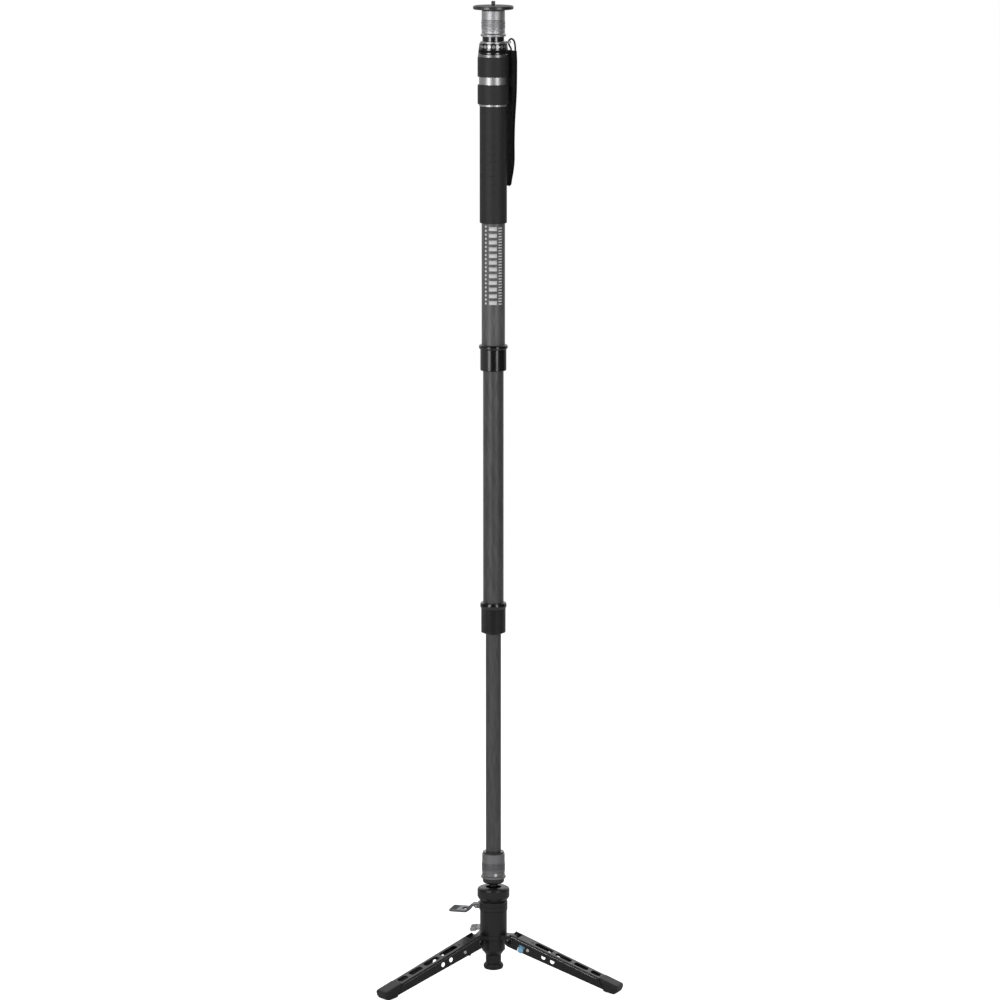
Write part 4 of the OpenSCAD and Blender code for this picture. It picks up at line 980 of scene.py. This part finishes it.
def makeWristStrap():
    along = strapFrame()[1]
    section = bandSection()
    shape = bmesh.new()
    marks = shape.loops.layers.uv.new("bandMm")
    rings, runs, lastPoint = [], [], None
    for depth, off, facing in strapPath():
        centre, normal = strapPlace(depth, off, facing)
        rings.append([shape.verts.new(centre + along * s * mm + normal * t * mm) for s, t in section])
        here = Vector((depth, off))
        runs.append(runs[-1] + (here - lastPoint).length if runs else 0.0)
        lastPoint = here
    skinned(shape, marks, rings, lambda k, i: (section[k % len(section)][0], runs[i]))
    strap = newPiece("wristStrap", meshFrom(shape, "wristStrap", sharpAt=50), "webbing")
    standFor(strap, "wrist_strap")
    rows = makeStitches()
    print("strap band:", round(runs[-1]), "mm long before folding")


def makeStitches():
    along = strapFrame()[1]
    shape = bmesh.new()
    free = strapStitch["freeEnds"]
    half = strapBand["width"] / 2 - strapStitch["inset"]
    face = -strapBand["layer"] / 2
    for side in (-1, 1):
        before = None
        for depth, off, facing in strapPath()[free:-free]:
            centre, normal = strapPlace(depth, off, facing)
            vert = shape.verts.new(centre + along * side * half * mm + normal * face * mm)
            if before:
                shape.edges.new((before, vert))
            before = vert
    seed = bpy.data.meshes.new("stitchLine")
    shape.to_mesh(seed)
    shape.free()
    sizes = {"Spacing": strapStitch["spacing"] * mm, "Length": strapStitch["length"] * mm,
             "Thickness": strapStitch["thick"] * mm}
    mesh = grow(stitchTree(), "strapStitches", "stitchThread", sizes, seed)
    return rideOn(newPiece("strapStitches", mesh, None), "wrist_strap")


# Camera plate and stud

studThread = {
    "pitch": 1.27,
    "ridge": 0.45,
    "radius": 3.175,
    "plateTop": 7.0,  # below the stud's tip
    "tipChamfer": 0.5,
    "stepsPerTurn": 28,
    "ridgeSides": 4,
    "segments": 48,
}


def makeCameraStud():
    low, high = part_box("camera_stud")
    shankRadius = high.x
    ridge = studThread["ridge"] * mm
    core = studThread["radius"] * mm - ridge
    plateTop = high.z - studThread["plateTop"] * mm
    chamfer = studThread["tipChamfer"] * mm
    outline = [(0.0, low.z), (shankRadius, low.z), (shankRadius, plateTop), (core, plateTop),
               (core, high.z - chamfer), (core - chamfer, high.z), (0.0, high.z)]
    stud = meshFrom(lathe(outline, studThread["segments"]), "cameraStud")
    turns = (high.z - plateTop - 2 * ridge) / (studThread["pitch"] * mm)
    sizes = {"Core": core, "Pitch": studThread["pitch"] * mm, "Ridge": ridge, "Turns": turns,
             "Steps": studThread["stepsPerTurn"], "Sides": studThread["ridgeSides"], "Base": plateTop + ridge}
    thread = grow(threadTree(), "studThread", "darkSteel", sizes)
    both = bmesh.new()
    both.from_mesh(stud)
    both.from_mesh(thread)
    piece = newPiece("cameraStudPiece", meshFrom(both, "cameraStudPiece", sharpAt=40), "darkSteel")
    standFor(piece, "camera_stud")


# Springs in the couplers

springWire = {"thick": 1.1, "turns": 5, "stepsPerTurn": 28, "sides": 8}


def makeSprings():
    # a coil in the place of each plain spring
    for node, joint in (("lower_spring", "lower_sleeve_pull"), ("upper_spring", "upper_sleeve_pull")):
        low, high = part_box(node)
        wire = springWire["thick"] / 2 * mm
        pitch = (high.z - low.z - 2 * wire) / springWire["turns"]
        sizes = {"Core": high.x - wire, "Pitch": pitch, "Ridge": wire, "Turns": springWire["turns"],
                 "Steps": springWire["stepsPerTurn"], "Sides": springWire["sides"], "Base": low.z + wire}
        name = node.split("_")[0] + "Spring"
        spring = standFor(newPiece(name, grow(threadTree(), name, "brightSteel", sizes), None), node)
        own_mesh(spring)


# Marks on the tubes, the grip and the couplers

# azimuth in degrees from the front towards +X, and "above" from the foot of the piece that carries the marks
marksOnTube = {
    # plain blocks, ticks and dots in white ink
    "blocks": {"shape": "bar", "count": 12, "pitch": 9.8, "width": 12.0, "height": 5.8, "azimuth": -2},
    "ticks": {"shape": "bar", "count": 28, "pitch": 4.1, "width": 6.0, "height": 1.9, "azimuth": 37},
    "dots": {"shape": "oval", "count": 20, "pitch": 5.9, "width": 3.4, "height": 3.4, "azimuth": -40},
}
inkOnTube = {"rise": 0.12, "belowGrip": 118}
gripBumps = {"count": 7, "pitch": 11.0, "width": 11.0, "height": 4.0, "rise": 0.9, "azimuth": -3, "above": 45}
couplerDot = {"count": 1, "pitch": 5.0, "width": 5.0, "height": 5.0, "rise": 0.3, "azimuth": 12, "above": 6.9}


def wrapMarks(tree, name, material, mark, radius, base, node):
    sizes = {label.capitalize(): mark[label] * mm for label in ("pitch", "width", "height", "rise")}
    sizes |= {"Count": mark["count"], "Radius": radius, "Base": base}
    sizes["Azimuth"] = math.radians(mark["azimuth"])
    rideOn(newPiece(name, grow(tree, name, material, sizes), None), node)


def makeMarks():
    bars = wrapTree("wrappedBars", barShape)
    ovals = wrapTree("wrappedOvals", ovalShape)
    low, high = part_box("grip")
    foot = low.z - inkOnTube["belowGrip"] * mm
    for name, mark in marksOnTube.items():
        tree = bars if mark["shape"] == "bar" else ovals
        inked = {**mark, "rise": inkOnTube["rise"]}
        wrapMarks(tree, "tube" + name.capitalize(), "whiteInk", inked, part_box("upper_tube")[1].x,
                  foot + mark["height"] / 2 * mm, "upper_tube")
    wrapMarks(ovals, "gripBumps", "gripRubber", gripBumps, high.x, low.z + gripBumps["above"] * mm, "grip")
    for node in ("lower_sleeve", "upper_sleeve"):
        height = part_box(node)[0].z + couplerDot["above"] * mm
        name = node.split("_")[0] + "CouplerDot"
        wrapMarks(ovals, name, "whiteInk", couplerDot, radiusAt(node, height), height, node)


# Pedals

# azimuth, droop and roll in degrees; the upper plate's top is a height, the lower one's is from its pin
pedalKnurl = {"azimuth": -106, "reach": 65.0, "inset": 6.0, "plateTop": 105.48, "length": 8.0, "width": 25.0,
              "rows": 5, "columns": 14, "rise": 0.7, "foot": 1.1, "tip": 0.2}
lowPedalKnurl = {"azimuth": -112, "droop": 13, "roll": 30, "plateAt": 16.2, "plateTop": 1.5, "length": 8.6,
                 "width": 10.6, "rows": 6, "columns": 7, "rise": 0.7, "foot": 1.0, "tip": 0.2}


def knurlPiece(name, look, material, place, node):
    sizes = {label.capitalize(): look[label] * mm for label in ("length", "width", "foot", "tip", "rise")}
    sizes |= {"Rows": look["rows"], "Columns": look["columns"]}
    mesh = grow(knurlTree(), name, material, sizes)
    mesh.transform(place)
    rideOn(newPiece(name, mesh, None), node)


def makePedalKnurl():
    outward = Matrix.Rotation(math.radians(pedalKnurl["azimuth"] - 90), 4, "Z")
    spot = Vector((pedalKnurl["reach"] - pedalKnurl["inset"], 0, pedalKnurl["plateTop"])) * mm
    knurlPiece("pedalKnurl", pedalKnurl, "blastedPedal", outward @ Matrix.Translation(spot), "pedal_upper")
    look = lowPedalKnurl
    pivot = Matrix.Translation(Vector(jointOf["pedal_lower_press"]["pos_m"]))
    outward = Matrix.Rotation(math.radians(look["azimuth"] - 90), 4, "Z")
    tilt = Matrix.Rotation(math.radians(look["droop"]), 4, "Y")
    tilt = tilt @ Matrix.Rotation(math.radians(-look["roll"]), 4, "X")
    spot = Matrix.Translation(Vector((look["plateAt"], 0, look["plateTop"])) * mm)
    knurlPiece("lowPedalKnurl", look, "brightPedal", pivot @ outward @ tilt @ spot, "pedal_lower")


# Legs

legBead = {
    "below": 2.7,
    "radius": 0.5,
    "sides": 12,
    "sunk": 0.15,
    "fold": 100,  # folds shorter than this have none
    "inset": 3.0,
    "lyingFlat": 0.5,  # least upward part of the top face's normal
}


def makeLegBeads():
    # a bead rolled into each wall of a leg, just under its long fold
    for leg in "abc":
        node = "leg_channel_" + leg
        shape = mergedCopy(node)
        beads = bmesh.new()
        for edge in sharpEdges(shape):
            if edge.calc_length() < legBead["fold"] * mm or not edge.is_convex:
                continue
            wall, top = sorted(edge.link_faces, key=lambda face: abs(face.normal.z))
            if top.normal.z < legBead["lyingFlat"]:
                continue
            along = (edge.verts[1].co - edge.verts[0].co).normalized()
            down = wall.normal.cross(along)
            down = down if down.dot(top.normal) < 0 else -down
            shift = down * legBead["below"] * mm - wall.normal * legBead["sunk"] * mm
            inset = along * legBead["inset"] * mm
            ends = [edge.verts[0].co + inset, edge.verts[1].co - inset]
            tube = sweptTube([end + shift for end in ends], legBead["radius"] * mm, legBead["sides"])
            beads.from_mesh(meshFrom(tube, "bead"))
        shape.free()
        name = "legBeads" + leg.upper()
        rideOn(newPiece(name, meshFrom(beads, name), "rubbedEdge"), node)


# All pieces

# material and edge radius of each piece made on a lathe
turnedPieces = {
    # the lower coupler's darker grey is painted shade, and the upper tube's paler carbon is painted light
    "lower_tube": ("carbon", 0.3), "middle_tube": ("carbon", 0.3), "upper_tube": ("litCarbon", 0.3),
    "middle_collar": ("anodisedGloss", 0.6), "upper_collar": ("anodisedGloss", 0.6),
    "grip": ("gripRubber", 1.0), "upper_band": ("gripRubber", 1.4), "lower_band": ("gripRubber", 1.4),
    "lower_sleeve": ("shadedGreyAnodised", 0.4), "upper_sleeve": ("greyAnodised", 0.4),
    "camera_plate": ("anodisedPlate", 0.6), "plate_pad": ("padRubber", 0.3),
    "friction_ring": ("anodisedSatin", 0.5), "centre_post": ("anodisedSatin", 0.6),
    "centre_foot": ("footRubber", 1.2),
}
# material and edge radius of each other piece
polishedPieces = {
    "hub_body": ("anodisedSatin", 0.3), "leg_ring": ("anodisedSatin", 0.3), "hinge_bolts": ("darkSteel", 0.7),
    "pedal_pins": ("brightSteel", 0.25), "base_spigot": ("anodisedGloss", 0.3),
    "ball_stem": ("anodisedGloss", 0.2), "pedal_upper": ("blastedPedal", 0.4),
    "pedal_lower": ("brightPedal", 0.4), "head_core": ("anodisedPolished", 0.2),
    "head_collar": ("anodisedPolished", 0.25),
    "twist_sleeve": ("brightAluminium", 0.3), "strap_ring": ("brightAluminium", 0.3),
    "lower_socket": ("anodisedGloss", 0.3), "upper_socket": ("anodisedGloss", 0.3),
}
# material, edge radius, steps round the edge and fold radius of what each leg has
legPieces = {"leg_channel": ("legPaint", 0.35, 2, 1.6), "leg_latch": ("latchPlastic", 1.0, 3, 0),
             "leg_pin": ("zincRivet", 0.5, 2, 0)}
# pieces inside, which keep their solids' shape
innerPieces = {
    "pan_cup": "acetal", "lower_balls": "brightSteel", "upper_balls": "brightSteel", "lower_plug": "acetal",
    "middle_plug": "acetal", "lower_brake": "acetal", "middle_brake": "acetal", "middle_bush": "acetal",
    "upper_bush": "acetal", "lower_cam": "turnedBrass", "drive_tube": "brightAluminium",
    "drive_rod": "brightAluminium", "twist_pin": "brightSteel",
}
# bands of another finish: node, material, and height from the node's foot to the band's foot and top
# the lower coupler's darker ribbed band is painted shade
paintedBands = [("upper_sleeve", "greyRibbed", 12.0, 24.2), ("lower_sleeve", "shadedGreyRibbed", 13, 23.5),
                ("twist_sleeve", "duskAluminium", 71, 76), ("head_collar", "mattBlackAndShade", 2.2, 5.6)]


def makePieces():
    made = {}
    for node, (material, edge) in turnedPieces.items():
        made[node] = turned(node, material, edge)
    for node, (material, edge) in polishedPieces.items():
        made[node] = polished(node, material, edge)
    for node, material, low, high in paintedBands:
        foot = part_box(node)[0].z
        paintBand(made[node], material, foot + low * mm, foot + high * mm)
    paintWhere(made["head_collar"], "brightAluminium", inDimple)
    # painted shade: matt black in the hinge bolts' sockets, where shade falls
    paintWhere(made["hinge_bolts"], "mattBlackAndShade", inBoltSocket)
    paintWhere(made["hub_body"], "blastedPedal", onHubEar)
    for stem, (material, edge, segments, fold) in legPieces.items():
        for leg in "abc":
            made[stem + "_" + leg] = polished(stem + "_" + leg, material, edge, segments, fold)
    for leg in "abc":
        moulded("leg_foot_" + leg, "footRubber")
        paintWhere(made["leg_latch_" + leg], "acetal", insideLeg(leg))
    for node, material in innerPieces.items():
        dress(node, material)


scene.view_settings.view_transform = "Standard"
makeCamera()
makeLights()
makeWorld()
makeFloor()
print("camera, lights and floor made")
makeMaterials()
print("materials made:", len(materials))
makeStrapCord()
makeWristStrap()
makeCameraStud()
makeSprings()
makeMarks()
makePedalKnurl()
makeLegBeads()
makePieces()
